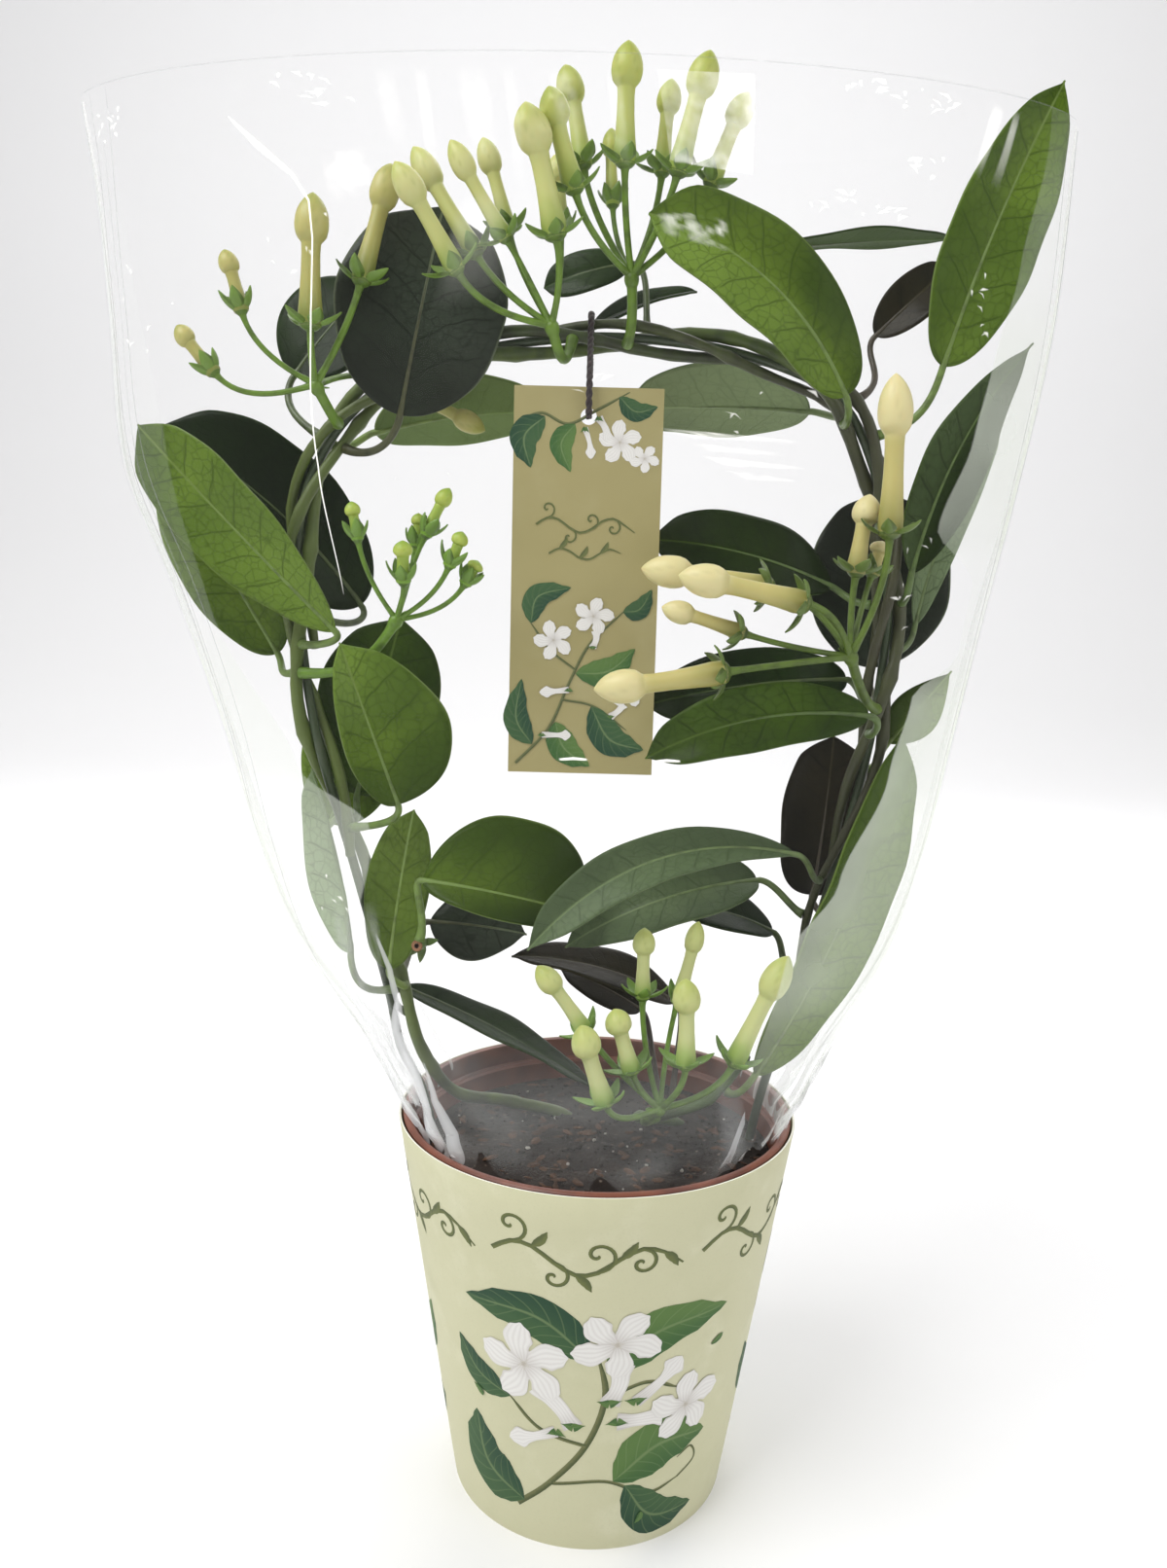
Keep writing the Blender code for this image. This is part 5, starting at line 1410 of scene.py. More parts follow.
def addBud(pile, root, calyx, tip, swell, chance, opening):
    axis = (tip - calyx).normalized()
    length = (tip - calyx).length
    side = axis.orthogonal().normalized()
    up = axis.cross(side)
    head = swell * budShape["plump"] * mm
    young = min(1.0, swell / 4.6)
    # pedicel, flaring into the calyx
    before = calyx - axis * (calyx - root).length * 0.45
    stalk, radii = [], []
    for i in range(13):
        t = i / 12
        r = 1 - t
        stalk.append(root * r * r + before * 2 * r * t + calyx * t * t)
        flare = 0.55 * max(0.0, (t - 0.84) / 0.16) ** 2 + 0.30 * max(0.0, 1 - t / 0.12)
        radii.append(budShape["pedicel"] * (0.40 + 0.60 * young) * (1 + flare))
    pile.grid(rings(stalk, radii, 12), ink=1, around=True, capped=True)
    # tube and swollen head
    shares = [share for share, _ in budShape["tube"]] + [share for share, _ in budShape["head"]]
    spread = []
    for low, high in zip(shares, shares[1:]):
        spread += [low, (low + high) / 2]
    spread.append(1.0)
    turn = chance.uniform(0, math.tau)
    lean = side * math.cos(turn) * length * 0.02
    count = budShape["around"]
    rows, tags = [], []
    for share in spread:
        if share < budShape["head"][0][0]:
            radius = curveAt(budShape["tube"], share) * head
            if swell < 3.5:
                radius *= 1.12
        else:
            radius = curveAt(budShape["head"], share) * head
        middle = calyx + axis * length * share + lean * math.sin(math.pi * share)
        row, tag = [], []
        for k in range(count):
            angle = math.tau * k / count
            petal = abs(math.cos(2.5 * angle + turn))
            seam = 0.0
            size = radius
            if 0.64 < share < 0.70:
                size *= 1 + budShape["shoulder"] * (petal - 0.5) * (1 - abs(share - 0.67) / 0.03)
            if share > 0.68:
                spiral = abs(math.sin(2.5 * (angle + budShape["seamTwist"] * (share - 0.68)) + turn))
                seam = max(0.0, 1 - spiral / 0.30) * min(1.0, (share - 0.68) / 0.06)
                size *= 1 - budShape["seam"] * seam
            if opening and share > 0.74:  # the petals part into a broad notch
                size *= 1 + 0.22 * math.cos(angle * 2 + turn) * min(1.0, (share - 0.74) / 0.1)
            row.append(middle + aimed(side, up, angle) * size)
            tag.append((share, k / count, seam))
        rows.append(row)
        tags.append(tag)
    pile.grid(rows, tags, ink=0, around=True, capped=True)
    # five sepals round the foot of the tube
    start = chance.uniform(0, math.tau)
    for k in range(5):
        angle = start + math.tau * k / 5 + chance.uniform(-0.12, 0.12)
        out = aimed(side, up, angle)
        root = calyx + axis * 0.0004 + out * head * 0.50
        reach = budShape["sepal"] * (0.55 + 0.45 * young) * chance.uniform(0.88, 1.1)
        tight = 0.95 if swell < 3.5 else chance.uniform(0.30, 0.60)
        wide = budShape["sepalWidth"] * (0.6 + 0.4 * young)
        bend = tight + chance.uniform(0.45, 0.85)
        thick = budShape["sepalThick"]
        scale(pile, root, out, axis, reach, wide, thick, ink=2, curlUp=bend, lead=tight - 0.25)
    # the cup that the sepals grow from
    cup = [calyx + axis * (-0.0012 + 0.0026 * i / 5) for i in range(6)]
    sizes = [head * s for s in (0.30, 0.48, 0.60, 0.66, 0.68, 0.66)]
    pile.grid(rings(cup, sizes, 20), ink=2, around=True, capped=True)


def addUmbel(name, spec, stems):
    chance = random.Random(name)
    fork, via = metres(spec["fork"]), metres(spec["via"])
    foot = seatOnStem(stems, via, 0.0)
    stalk = bentStalk(foot, via, fork, fork - via, 14)
    pile = Pile()
    radii = []
    for i in range(len(stalk)):
        t = i / (len(stalk) - 1)
        swell = 0.25 * max(0.0, 1 - t / 0.15) + 0.25 * max(0.0, (t - 0.85) / 0.15)
        radii.append(budShape["peduncle"] * (1 + swell))
    pile.grid(rings(stalk, radii, 14), ink=1, around=True, capped=True)
    up = (fork - via).normalized()
    knot = [fork + up * budShape["fork"] * s for s in (-1.2, -0.8, -0.35, 0.1, 0.5, 0.85)]
    radii = [budShape["fork"] * s for s in (0.80, 0.95, 1.05, 1.02, 0.8, 0.35)]
    pile.grid(rings(knot, radii, 16), ink=1, around=True, capped=True)
    for i, (calyx, tip, swell) in enumerate(spec["buds"]):
        calyx = metres(calyx)
        root = fork + (calyx - fork).normalized() * 0.3 * budShape["fork"]
        addBud(pile, root, calyx, metres(tip), swell, chance, i in spec.get("opening", ()))
        out = (calyx - fork).normalized()
        away = out.cross(up)
        if away.length > 0.05:  # a small bract under each pedicel
            root = fork + out * budShape["fork"] * 0.9 - up * 0.0006
            scale(pile, root, (out - up * 0.3).normalized(), up, 0.0030, 0.0016, 0.0003, ink=2)
    title = titleOf(name)
    base, tube, head, tipColour, green = spec["look"]
    finishes = [
        budFinish(title + "Petal", base, tube, head, tipColour),
        greenFinish(title + "Stalk", green),
        greenFinish(title + "Sepal", toned(green, 0.80)),
    ]
    slotName = "flower_" + spec["tone"]
    addPiece(title, pile.mesh(title), finishes, [name], 55)


def addFlowers(stems):
    for name, spec in umbelSpecs.items():
        addUmbel(name, spec, stems)


soil = {  # metres
    "top": 0.1145, "crown": 0.0025, "radius": 0.0585, "bottom": 0.0022, "rings": 44, "around": 150,
    "grey": (0.024, 0.016, 0.012), "brown": (0.010, 0.0055, 0.0035), "pale": (0.17, 0.13, 0.10),
    "crumbs": 760, "perliteShare": 0.05, "chipShare": 0.30,
}


def soilFinish(name, grey, brown, pale):
    skin = Finish(name, Specular_IOR_Level=0.3)
    clods = skin.noise(95.0, 6.0, rough=0.65)
    fine = skin.noise(700.0, 4.0, rough=0.7)
    fibres = skin.node("ShaderNodeTexVoronoi", {"feature": "F1"}, {"Vector": skin.place(), "Scale": 330.0})
    colour = skin.mix(brown, grey, skin.step(clods, 0.40, 0.62))
    colour = skin.mix(colour, pale, (1 - skin.step(fibres, 0.10, 0.26)) * skin.step(fine, 0.48, 0.6))
    colour = skin.mix(colour, toned(brown, 0.35), skin.step(fine, 0.56, 0.72) * 0.8)
    skin.paint(
        Base_Color=colour, Roughness=0.84 + fine * 0.1,
        Normal=skin.bump(clods * 1.4 + fine * 0.6, 0.7, 0.0012),
    )
    return skin


def soilHeight(x, y):
    radius = math.hypot(x, y)
    dome = soil["crown"] * (1 - min(1.0, radius / soil["radius"]) ** 2)
    rough = noise.noise(Vector((x * 150, y * 150, 0.0))) * 0.0011
    rough += noise.noise(Vector((x * 420, y * 420, 5.0))) * 0.0006
    rim = min(1.0, (soil["radius"] - radius) / 0.004)
    return soil["top"] + dome - 0.0009 + rough * max(0.2, rim) - 0.0006 * (1 - rim)


def addSoil():
    surface = soilFinish("soilTop", soil["grey"], soil["brown"], soil["pale"])
    rows = []
    count = soil["around"]
    for i in range(soil["rings"] + 1):
        radius = soil["radius"] * (0.004 + 0.996 * i / soil["rings"])
        row = []
        for k in range(count):
            angle = math.tau * k / count
            x, y = radius * math.cos(angle), radius * math.sin(angle)
            row.append((x, y, soilHeight(x, y)))
        rows.append(row)
    sides = ((0.0580, 0.111), (0.0520, 0.075), (0.0462, 0.040), (0.0412, 0.006))
    rows += turnedRows(sides + ((0.0404, soil["bottom"]), (0.0010, soil["bottom"])), count)
    pile = Pile()
    pile.grid(rows, around=True, capped=True)
    addPiece("soilBlock", pile.mesh("soilBlock"), [surface], ["potting_soil"], 70)
    # loose crumbs, chips of bark and grains of perlite
    crumbs = Pile()
    chance = random.Random("crumbs")
    for i in range(soil["crumbs"]):
        angle = chance.uniform(0, math.tau)
        radius = (soil["radius"] - 0.003) * math.sqrt(chance.random())
        x, y = radius * math.cos(angle), radius * math.sin(angle)
        kind = 1 if chance.random() >= soil["perliteShare"] else 2
        if kind == 1 and chance.random() >= soil["chipShare"]:
            kind = 0
        size = chance.uniform(0.0006, 0.0016) if kind != 1 else chance.uniform(0.0012, 0.0030)
        long = size * (chance.uniform(1.4, 2.6) if kind == 1 else chance.uniform(0.8, 1.25))
        flat = size * (0.35 if kind == 1 else chance.uniform(0.6, 0.9))
        spin = Matrix.Rotation(chance.uniform(0, math.tau), 3, "Z")
        turn = spin @ Matrix.Rotation(chance.uniform(-0.4, 0.4), 3, "X")
        middle = Vector((x, y, soilHeight(x, y) + flat * 0.35))
        lumps = []
        for share in (0.02, 0.28, 0.62, 0.98):
            across = math.sin(math.pi * share)
            row = []
            for k in range(6):
                spoke = math.tau * k / 6
                jag = 1 + chance.uniform(-0.28, 0.28)
                away = Vector((math.cos(math.pi * share) * long, math.cos(spoke) * size * across * jag,
                               math.sin(spoke) * flat * across * jag))
                row.append(middle + turn @ (away * 0.5))
            lumps.append(row)
        crumbs.grid(lumps, ink=kind, around=True, capped=True)
    peat = soilFinish("soilCrumb", (0.030, 0.020, 0.015), (0.013, 0.008, 0.005), (0.09, 0.065, 0.045))
    chip = soilFinish("barkChip", (0.085, 0.042, 0.022), (0.040, 0.019, 0.010), (0.16, 0.11, 0.07))
    grain = soilFinish("perliteGrain", (0.42, 0.40, 0.36), (0.28, 0.26, 0.23), (0.52, 0.50, 0.47))
    addPiece("soilCrumbs", crumbs.mesh("soilCrumbs"), [peat, chip, grain], smoothAngle=40)


# the film sleeve in mm: height, left edge, right edge, half depth, how pointed its side seams are
sleeveStations = (
    (120.2, -60.6, 60.6, 60.6, 1.0), (128, -61.6, 61.6, 61.4, 1.0), (134, -66, 66, 62, 1.0),
    (152, -76, 75, 61, 1.0), (183, -98, 93, 58, 1.0), (217, -112, 104, 56, 1.0),
    (253, -123, 111, 54, 1.0), (295, -138, 118, 52, 1.0), (330, -152, 124, 50, 1.05),
    (376, -156, 131, 48, 1.1), (414, -159, 134, 46, 1.15), (435.5, -162, 135, 44, 1.2),
)
sleeve = {
    # the film's white cover is painted haze and its emission painted light, both standing for the room's
    # reflection in the film
    "columns": 360, "foot": 120.2, "tearTop": 142.0, "inset": 1.2, "lift": 0.15, "clear": 0.010,
    "panel": 0.30, "white": (0.90, 0.92, 0.90), "glow": 0.20,
    "haze": (0.55, 0.585, 0.52), "hazeGlow": (0.27, 0.29, 0.24),
    "line": (0.36, 0.37, 0.38), "gleam": (1.0, 0.985, 0.94), "fold": (0.90, 0.91, 0.92),
}
# where the panel of painted haze on each side of the front begins: height and degrees round the sleeve
panelEdges = {
    "left": (
        (139, -176), (183, -137), (228, -126), (243, -139), (286, -152), (338, -148), (386, -153),
        (430, -158)),
    "right": (
        (194, -56), (214, -48), (245, -40), (268, -37), (280, -24), (300, -24), (316, -37), (342, -32.5),
        (364, -31.5), (390, -29), (430, -24)),
}
# how strong that painted haze is at each height
panelStrength = {
    "left": ((150, 0.0), (195, 1.1), (262, 1.0), (290, 0.25), (338, 0.25), (386, 0.2), (430, 0.1)),
    "right": (
        (150, 0.0), (190, 1.5), (215, 1.95), (262, 1.95), (284, 0.5), (304, 0.5), (322, 1.5), (368, 1.5),
        (395, 0.6), (435, 0.2)),
}
# the torn lower edge: degrees round the sleeve and height
tornEdge = (
    (-180, 125), (-172, 129), (-163, 132), (-154, 135), (-146, 136.5), (-144, 128), (-137, 123.5),
    (-129, 125.4), (-122, 133.4), (-120.4, 127.8), (-114, 126.7), (-103, 126.8), (-93.4, 126.2), (-90, 131.0),
    (-82, 126.2), (-69, 125.8), (-57, 126.2), (-48, 127.4), (-45, 132.6), (-38, 130.6), (-31, 129.4),
    (-20, 127), (-8, 123.5), (10, 122), (40, 121.6), (58, 121.5), (63, 126), (68, 121.6), (104, 121.5),
    (109, 125), (114, 121.5), (150, 122.5), (180, 125),
)


def sleeveSection(height):  # left, right, half depth and point of the sleeve at a height, on smooth curves
    table = sleeveStations
    last = len(table) - 1
    i = next((k for k in range(last) if height <= table[k + 1][0]), last - 1)
    low, high = table[i], table[i + 1]
    before, after = table[max(i - 1, 0)], table[min(i + 2, last)]
    run = high[0] - low[0]
    t = between(height, low[0], high[0])
    ease = (2 * t ** 3 - 3 * t * t + 1, t ** 3 - 2 * t * t + t, 3 * t * t - 2 * t ** 3, t ** 3 - t * t)
    values = []
    for c in range(1, 5):
        slopeLow = (high[c] - before[c]) / (high[0] - before[0]) * run
        slopeHigh = (after[c] - low[c]) / (after[0] - low[0]) * run
        values.append(sum(w * v for w, v in zip(ease, (low[c], slopeLow, high[c], slopeHigh))))
    return values


def pleatAt(height, angle):
    return 0.5 * math.sin(23 * angle + 0.04 * height) + 0.5 * math.sin(41 * angle - 0.03 * height + 1.3)


def sleevePoint(height, angle, out=0.0):
    left, right, depth, point = sleeveSection(height)
    wave = math.sin(angle)
    half = (right - left) / 2
    # pleats where the film is gathered to the pot, strongest at its two sides, and slow buckles above
    gather = hump(height, 130, 28) * between(height, 122, 130)
    slack = between(height, 150, 210) * between(-height, -440, -410)
    buckle = 0.8 * math.sin(3 * angle + 0.021 * height + 0.5)
    buckle += 0.4 * math.sin(7 * angle - 0.034 * height + 2.0)
    push = (0.5 + 1.1 * math.cos(angle) ** 2) * gather * pleatAt(height, angle) - sleeve["inset"] - out
    push += slack * buckle
    x = (left + right) / 2 + (half + push) * math.cos(angle)
    y = math.copysign(abs(wave) ** point, wave) * (depth + push)
    return Vector((x, y, height)) * mm


def paintedSleeveGlare(height, angle):  # how much painted haze covers the film, for the room's reflection: at the pot, in the pleats and towards the two sides
    side = abs(math.cos(angle))
    front = 1.0 if math.sin(angle) < 0 else 0.35
    cloud = noise.noise(Vector((angle * 1.6, height / 26, 3.0))) * 0.5 + 0.5
    patch = noise.noise(Vector((math.cos(angle) * 3.4, math.sin(angle) * 3.4, height / 11))) * 0.5 + 0.5
    pot = 1 / (1 + math.exp((height - 152 - 10 * side) / 7.0))
    paintedGlare = sleeve["clear"] * (0.6 + 0.8 * cloud) + front * pot * (0.026 + 0.22 * max(0.0, patch - 0.44))
    paintedGlare += front * 0.050 * hump(height, 152, 13)
    pleat = max(0.0, pleatAt(height, angle)) ** 0.7
    paintedGlare += 0.40 * side ** 8 * hump(height, 136, 18) * (0.10 + pleat)
    edge = between(side, 0.86, 0.99)
    return paintedGlare + edge * edge * (3 - 2 * edge) * between(height, 160, 205) * 0.04 * cloud * front


def halfTurns(angle):  # an angle in degrees from -180 to 180
    return (math.degrees(angle) + 180) % 360 - 180


def sidePanel(height, angle):  # degrees inside the panel of painted haze, and how strong that haze is there
    degrees = halfTurns(angle)
    if degrees > 0.0:
        return -3.0, 0.0
    fromLeft = curveAt(panelEdges["left"], height) - degrees
    inside = max(fromLeft, degrees - curveAt(panelEdges["right"], height))
    fade = curveAt(panelStrength["left" if degrees < -90 else "right"], height)
    cloud = noise.noise(Vector((angle * 2.0, height / 40, 9.0)))
    deep = 0.85 + 0.35 * cloud - 0.30 * min(1.0, max(0.0, inside) / 30)
    return min(3.0, max(-3.0, inside)), sleeve["panel"] * fade * deep


def filmFinish(name, colour, shine=0.12, glow=0.0):
    # marks: x is the cover of painted haze at each point, y how far inside a side panel, z the cover of the
    # panel's painted haze
    skin = Finish(name, Base_Color=(*colour, 1.0), Specular_IOR_Level=0.6)
    _, (paintedGlare, inside, panel) = skin.marks("marks")
    smear = skin.noise(60.0, 3.0)
    rim = skin.node("ShaderNodeLayerWeight", {}, {"Blend": 0.12}, out=0)
    # the cover grows where the film turns edge-on: painted reflection
    cover = paintedGlare + skin.step(inside, -0.35, 0.35) * panel * (0.8 + smear * 0.4) + rim * rim * 0.30
    skin.paint(
        Roughness=shine + smear * 0.15 + paintedGlare * 0.4, Alpha=skin.maths("MINIMUM", cover, 0.96),
        Normal=skin.bump(smear, 0.3, 0.002),
    )
    # painted light: the film glows, with a colour and glow of their own in the side panels of painted haze
    if glow:
        hazy = skin.step(inside, -0.35, 0.35) * skin.maths("MINIMUM", panel * 6.0, 1.0)
        light = skin.mix(toned(colour, glow), sleeve["hazeGlow"], hazy)
        base = skin.mix(colour, sleeve["haze"], hazy)
        skin.paint(Emission_Color=light, Emission_Strength=1.0, Base_Color=base)
    return skin


def addFilm(name, pile, finish, stands=()):
    piece = addPiece(name, pile.mesh(name, closed=False), [finish], stands)
    piece.visible_shadow = False  # clear film leaves no shade on the plant
    piece.visible_diffuse = False
    return piece


def lowerEdge(angle):
    return curveAt(tornEdge, halfTurns(angle)) + 0.25 * math.sin(31 * angle) + 0.2 * math.sin(47 * angle)


def addSleeve():
    pile = Pile()
    rows, tags = [], []
    heights = []
    stations = [row[0] for row in sleeveStations]
    for low, high in zip(stations, stations[1:]):
        steps = max(3, round((high - low) / 3.0))
        heights += [low + (high - low) * i / steps for i in range(steps)]
    heights.append(stations[-1])
    foot, top = sleeve["foot"], sleeve["tearTop"]
    for height in heights:
        row, tag = [], []
        for c in range(sleeve["columns"]):
            angle = math.tau * c / sleeve["columns"]
            edge = lowerEdge(angle)
            up = height if height >= top else edge + (top - edge) * (height - foot) / (top - foot)
            row.append(sleevePoint(up, angle))
            tag.append((paintedSleeveGlare(up, angle), *sidePanel(up, angle)))
        rows.append(row)
        tags.append(tag)
    pile.grid(rows, tags, around=True)
    clear = filmFinish("clearFilm", sleeve["white"], glow=sleeve["glow"])
    addFilm("filmSleeve", pile, clear, ["clear_sleeve"])


def filmStrip(pile, points, widths, cover, steps, fade, lift=sleeve["lift"], soft=0.95):
    # a narrow band that lies just on the film: points are (height, degrees round it), widths in mm
    count = len(points) - 1
    tallness = [(k / count, height) for k, (height, _) in enumerate(points)]
    turns = [(k / count, degrees) for k, (_, degrees) in enumerate(points)]
    wide = [(k / (len(widths) - 1), width) for k, width in enumerate(widths)]
    middle = []
    for i in range(steps + 1):
        t = i / steps
        middle.append(sleevePoint(curveAt(tallness, t), math.radians(curveAt(turns, t)), -lift))
    rows, tags = [], []
    for i, (point, tangent) in enumerate(zip(middle, directions(middle))):
        t = i / steps
        degrees = curveAt(turns, t)
        near = sleevePoint(curveAt(tallness, t), math.radians(degrees + 1.5), -lift)
        outward = (near - point).cross(Vector((0, 0, 1))).normalized()
        side = tangent.cross(outward).normalized()
        half = curveAt(wide, t) * mm / 2
        ends = min(1.0, fade * t, fade * (1 - t))
        row, tag = [], []
        for c in (-1.0, -0.5, 0.0, 0.5, 1.0):
            row.append(point + side * half * c)
            tag.append((cover * ends * (1 - soft * c * c), 0.0, 0.0))
        rows.append(row)
        tags.append(tag)
    pile.grid(rows, tags)


def filmPatch(pile, corners, covers, soft, ragged=0.0):
    # a pane of light on the film: four corners as (height, degrees), the cover at each, its sides' softness
    def blend(values, u, v):
        return (values[0] * (1 - u) + values[1] * u) * (1 - v) + (values[3] * (1 - u) + values[2] * u) * v

    tallness, turns = zip(*corners)
    count = 14
    rows, tags = [], []
    for i in range(count + 1):
        v = i / count
        row, tag = [], []
        for j in range(count + 1):
            u = j / count
            height, degrees, cover = blend(tallness, u, v), blend(turns, u, v), blend(covers, u, v)
            if soft:
                cover *= min(1.0, 4 * u * (1 - u) / soft) * min(1.0, 4 * v * (1 - v) / soft)
            if ragged:
                grain = noise.noise(Vector((degrees * 0.9, height * 0.45, covers[0])))
                cover *= between(grain / ragged, -0.5, 0.5)
            row.append(sleevePoint(height, math.radians(degrees), -sleeve["lift"]))
            tag.append((cover, 0.0, 0.0))
        rows.append(row)
        tags.append(tag)
    pile.grid(rows, tags)


def filmGlints(pile, chance, height, degrees, tall, wide, count, cover):  # painted glints: bright flecks where crinkled film catches the light
    for _ in range(count):
        h = height + chance.uniform(-tall, tall)
        a = degrees + chance.uniform(-wide, wide)
        lean = chance.uniform(-2.2, 2.2)
        long = chance.uniform(0.8, 3.2)
        points = ((h, a), (h + long * 0.5, a + lean * 0.35), (h + long * 0.7, a + lean))
        filmStrip(pile, points, (0.2, chance.uniform(0.5, 1.4), 0.2), cover * chance.uniform(0.5, 1.0), 8, 3)


def addFilmGleams():
    # painted highlights, glints and reflections on the film, then its welds and white folds
    bright, dull, folds = Pile(), Pile(), Pile()
    chance = random.Random("film")
    # the painted highlight along the long crease on the left, from near the top rim down across the leaves
    creaseHighlight = (
        (421, -131), (413, -127), (405, -122.5), (398, -120.4), (388, -120.0), (369, -120.3), (349, -120.2),
        (328, -119.8), (312, -120.3), (293, -121),
    )
    filmStrip(bright, creaseHighlight, (0.6, 2.0, 1.3, 0.7, 0.6, 0.6, 0.5, 0.5, 0.4, 0.3), 0.80, 120, 20)
    # painted glints in the crinkled film
    for height, degrees, tall, wide, count, cover in (
        (426, -119, 4, 5, 14, 0.8), (423, -158, 4, 6, 12, 0.8), (429, -50, 3, 4, 12, 0.9),
        (431, -58, 2, 5, 8, 0.8), (412, -50, 3, 4, 8, 0.8), (400, -59, 4, 6, 16, 0.6),
        (345, -66, 6, 6, 5, 0.6), (380, -37, 12, 3, 8, 0.6), (372, -150, 20, 8, 8, 0.5),
        (350, -90, 5, 6, 3, 0.4), (210, -140, 12, 6, 6, 0.5), (300, -40, 16, 4, 8, 0.5),
        (386, -123, 8, 5, 6, 0.5), (340, 100, 12, 30, 6, 0.25),
    ):
        filmGlints(bright, chance, height, degrees, tall, wide, count, cover)
    # a window caught in the film near the top: a bright pane cut off sharply, and weaker ones to its left
    for corners, covers, ragged in (
        (((431.5, -82), (431.8, -71.6), (406.5, -71.4), (409, -80.5)), (0.22, 0.46, 0.50, 0.18), 2.6),
        (((431.8, -73.4), (431.8, -71.6), (406.5, -71.4), (408, -73.0)), (0.0, 0.60, 0.60, 0.0), 1.6),
        (((412, -80), (411, -72), (406.5, -71.4), (408.5, -80)), (0.0, 0.0, 0.55, 0.40), 1.0),
    ):
        filmPatch(bright, corners, covers, 0.0, ragged)
    for left, width, low, cover in (
        (-112, 2.6, 408, 0.20), (-107.5, 1.6, 398, 0.26), (-103, 3.6, 404, 0.24), (-98.0, 1.4, 396, 0.20),
        (-93.5, 3.0, 410, 0.26), (-87.5, 1.8, 404, 0.28),
    ):
        corners = ((431.2, left), (431.4, left + width), (low, left + width + 1.2), (low + 3, left + 1.2))
        filmPatch(bright, corners, (cover, cover, cover * 0.1, cover * 0.1), 0.8, 1.8)
    # the same window on the arched leaf and the tall one
    for corners, covers, soft, ragged in (
        (((397, -82), (395, -74), (386, -73), (390, -81)), (0.35, 0.60, 0.10, 0.15), 0.5, 0.45),
        (((433, -39), (431, -36.5), (411, -41), (413, -42.5)), (0.30, 0.42, 0.10, 0.05), 0.8, 0),
        (((432, -34.5), (431, -33), (409, -37), (410, -39)), (0.36, 0.30, 0.05, 0.05), 0.8, 0),
    ):
        filmPatch(bright, corners, covers, soft, ragged)
    # painted glare: pale wisps between the leaves
    for low, left, right, cover in (
        (338, -80, -62, 0.8), (334.5, -77, -64, 0.55), (331, -75, -61, 0.75), (327.5, -72, -62, 0.5),
    ):
        corners = ((low + 2, left), (low, right), (low - 0.8, right), (low - 0.6, left + 3))
        filmPatch(bright, corners, (cover, cover * 0.2, 0.05, cover * 0.8), 0.6, 1.4)
    filmPatch(bright, ((233, -82), (245, -77), (236, -68), (232, -70)), (0.05, 0.75, 0.25, 0.10), 0.25)
    filmPatch(bright, ((410, -119), (412, -113), (399, -112), (396, -118)), (0.35, 0.35, 0.05, 0.1), 0.9, 1.2)
    filmPatch(bright, ((398, -103), (402, -98), (372, -97), (368, -106)), (0.10, 0.10, 0.02, 0.02), 0.8)
    # two slots through the film at the foot of the tag
    for degrees in (-92.2, -79.4):
        slot = ((249.8, degrees - 2.0), (250.2, degrees), (250.0, degrees + 2.0))
        filmStrip(bright, slot, (0.8, 1.0, 0.8), 0.9, 8, 6)
    # welds down both sides, and the cut rim
    for degrees, width in (
        (180, 0.7), (183.5, 0.4), (197, 0.8), (205, 0.5), (-0.5, 0.7), (-4, 0.4), (-17, 0.6),
    ):
        heights = (150, 190, 230, 270, 310, 350, 390, 434.5)
        line = [(h, degrees + 1.2 * math.sin(h / 57 + degrees)) for h in heights]
        filmStrip(dull, line, (width, width), 0.45, 120, 12, 0.5)
    for degrees, cover in ((200.5, 0.5), (-11, 0.45), (186, 0.4)):
        line = [(h, degrees + 1.5 * math.sin(h / 43 + degrees)) for h in (215, 260, 300, 340, 380, 420)]
        filmStrip(dull, line, (1.4, 0.7, 1.1, 0.5, 1.2), cover * 0.5, 120, 8, 0.6)
    for first, last in ((-168, -122), (-122, -71), (-71, -12)):
        rim = [(435.2, first + (last - first) * k / 8) for k in range(9)]
        filmStrip(dull, rim, (0.5, 0.5), 0.22, 90, 30, 0.5)
    # loose white folds of film at the pot's two sides
    for degrees, low, high, wide, cover in (
        (-166, 128, 176, 4.5, 0.42), (-158, 126, 160, 5.5, 0.50), (-151, 123, 153, 4.0, 0.46),
        (-141, 121, 141, 5.0, 0.34), (-172, 132, 190, 3.0, 0.36), (-20, 126, 158, 4.5, 0.40),
        (-11, 127, 170, 3.5, 0.42), (-29, 128, 146, 4.5, 0.24), (-3, 130, 178, 3.0, 0.34),
        (172, 128, 160, 5.0, 0.30), (8, 128, 158, 5.0, 0.30),
    ):
        sway = ((0, 0), (0.3, 2), (0.65, -1), (1, 1.5))
        line = [(low + (high - low) * share, degrees + turn) for share, turn in sway]
        filmStrip(folds, line, (wide, wide * 0.7, wide * 0.5, 0.4), cover, 30, 9, 0.5, 0.15)
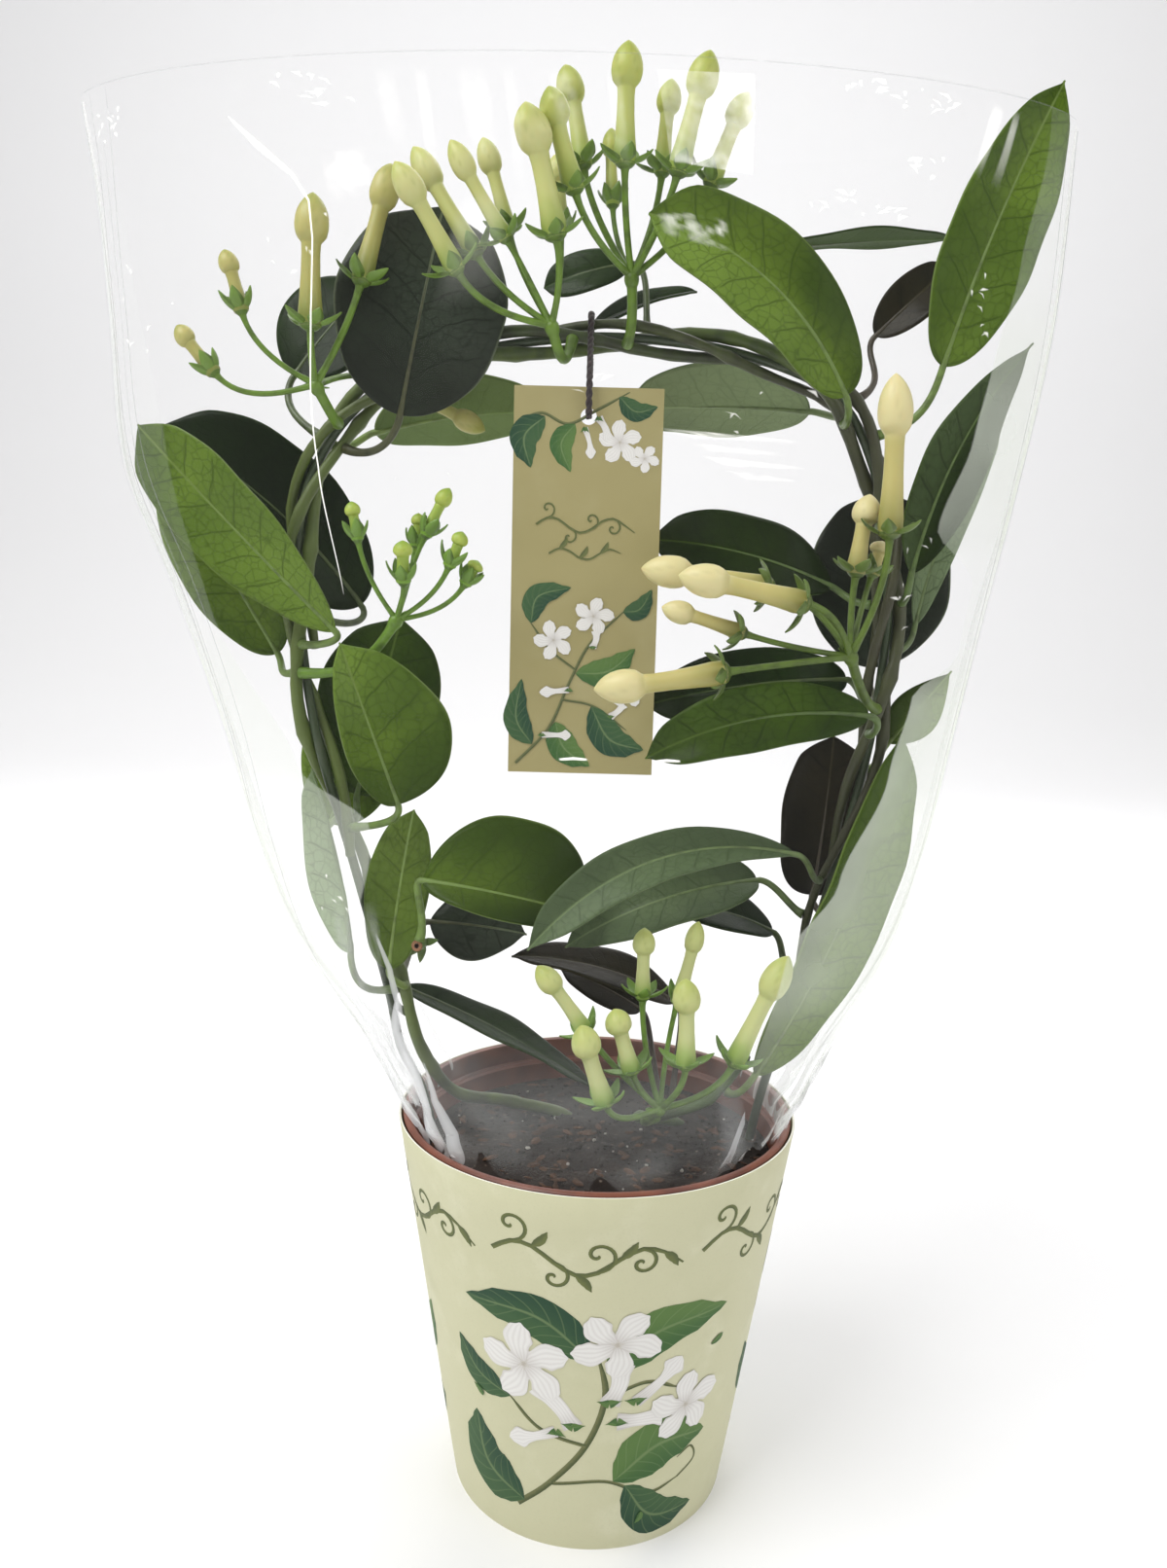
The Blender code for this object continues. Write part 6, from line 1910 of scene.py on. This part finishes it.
    # the broad white flap on the left, its inner fold, the fold above it, and one on the right
    flap = ((178, -129), (166, -135), (155, -137), (142, -138.5), (131, -142), (126, -143.5))
    filmStrip(folds, flap, (1.0, 4.0, 7.5, 8.0, 6.0, 3.0), 0.62, 50, 12, 0.3, 0.35)
    inner = ((158, -131), (146, -132.5), (136, -131), (128, -133), (123.8, -136))
    filmStrip(folds, inner, (0.6, 2.4, 4.6, 5.0, 2.4), 0.50, 50, 12, 0.35, 0.3)
    above = ((196, -129.5), (186, -128.5), (176, -129.5), (164, -133))
    filmStrip(folds, above, (0.8, 2.0, 2.6, 1.0), 0.45, 40, 8, 0.6, 0.3)
    right = ((156, -24), (148, -26), (139, -25), (129, -29))
    filmStrip(folds, right, (1.0, 3.0, 4.4, 2.0), 0.46, 40, 10, 0.4, 0.3)
    # a soft wide gleam across the soil, and the pale slack film outside the left stems
    filmPatch(folds, ((160, -66), (157, -58), (129, -45), (130, -56)), (0.14, 0.06, 0.16, 0.05), 0.9)
    filmPatch(folds, ((204, -139), (206, -127), (142, -137), (138, -156)), (0.20, 0.30, 0.45, 0.30), 0.5, 1.5)
    # the highlights, glints and reflections glow: painted light in the film's own white
    addFilm("filmGleamStrips", bright, filmFinish("filmGleam", sleeve["gleam"], 0.12, 0.85))
    addFilm("filmWelds", dull, filmFinish("filmLine", sleeve["line"]))
    addFilm("filmFolds", folds, filmFinish("filmFold", sleeve["fold"]))


loop = {  # the tag's twisted cord, in metres, and the degrees of its way over the hoop
    "cord": 0.0011, "strand": 0.00066, "centreY": 0.0030, "centreZ": 0.3725, "twist": 0.0052,
    "arc": (-60, -25, 10, 45, 80, 115, 150, 185),
    "atTag": ((0.0022, 0.012), (0.0028, 0.003), (0.0, 0.0), (-0.0028, 0.003), (-0.0032, 0.012)),
    "dark": (0.022, 0.012, 0.014), "worn": (0.075, 0.045, 0.045),
}


def addLoop():
    x, y, z = tag["centre"]
    hole = z + tag["height"] * mm / 2 - tag["holeDrop"] * mm
    ring = stemDesign["hoopRadius"] + 2 * stemDesign["vineRadius"] + 4 * stemDesign["seatGap"] + loop["cord"]
    points = []
    for degrees in loop["arc"]:
        angle = math.radians(degrees)
        away = aimed(Vector((0, 1, 0)), Vector((0, 0, 1)), angle) * ring
        points.append(Vector((x, loop["centreY"], loop["centreZ"])) + away)
    for forward, rise in loop["atTag"]:
        points.append(Vector((x, y - forward, hole + rise)))
    route = smoothRoute(points + points[:3], 12)[12:-12]
    lengths = lengthsAlong(route)
    along = directions(route)
    along[0] = along[-1] = (route[1] - route[-2]).normalized()
    sides = carried(Vector((1, 0, 0)), along)
    turns = round(lengths[-1] / loop["twist"])
    pile = Pile()
    for strand in range(2):
        line = []
        for point, length, tangent, side in zip(route, lengths, along, sides):
            angle = math.tau * turns * length / lengths[-1] + math.pi * strand
            up = tangent.cross(side)
            line.append(point + aimed(side, up, angle) * loop["strand"] * 0.62)
        pile.grid(rings(line, [loop["strand"]] * len(line), 10), around=True, capped=True)
    cord = Finish("loopCord", Sheen_Weight=0.2)
    fuzz = cord.noise(900.0, 4.0)
    cord.paint(
        Base_Color=cord.mix(loop["dark"], loop["worn"], cord.step(fuzz, 0.5, 0.8)),
        Roughness=0.62 + fuzz * 0.25, Normal=cord.bump(fuzz, 0.4, 0.0003),
    )
    addPiece("tagLoop", pile.mesh("tagLoop"), [cord], ["tag_loop"], 60)


stems = stemRoutes()
stems["cut_side_shoot"] = cutShootStem(stems)
addStems()
addCutShoot(stems)
print("hoop and vines done")
addLeaves(stems)
print("leaves done")
addFlowers(stems)
print("flowers done")
addSoil()
addSleeve()
addFilmGleams()
addLoop()
print("soil, sleeve and loop done")
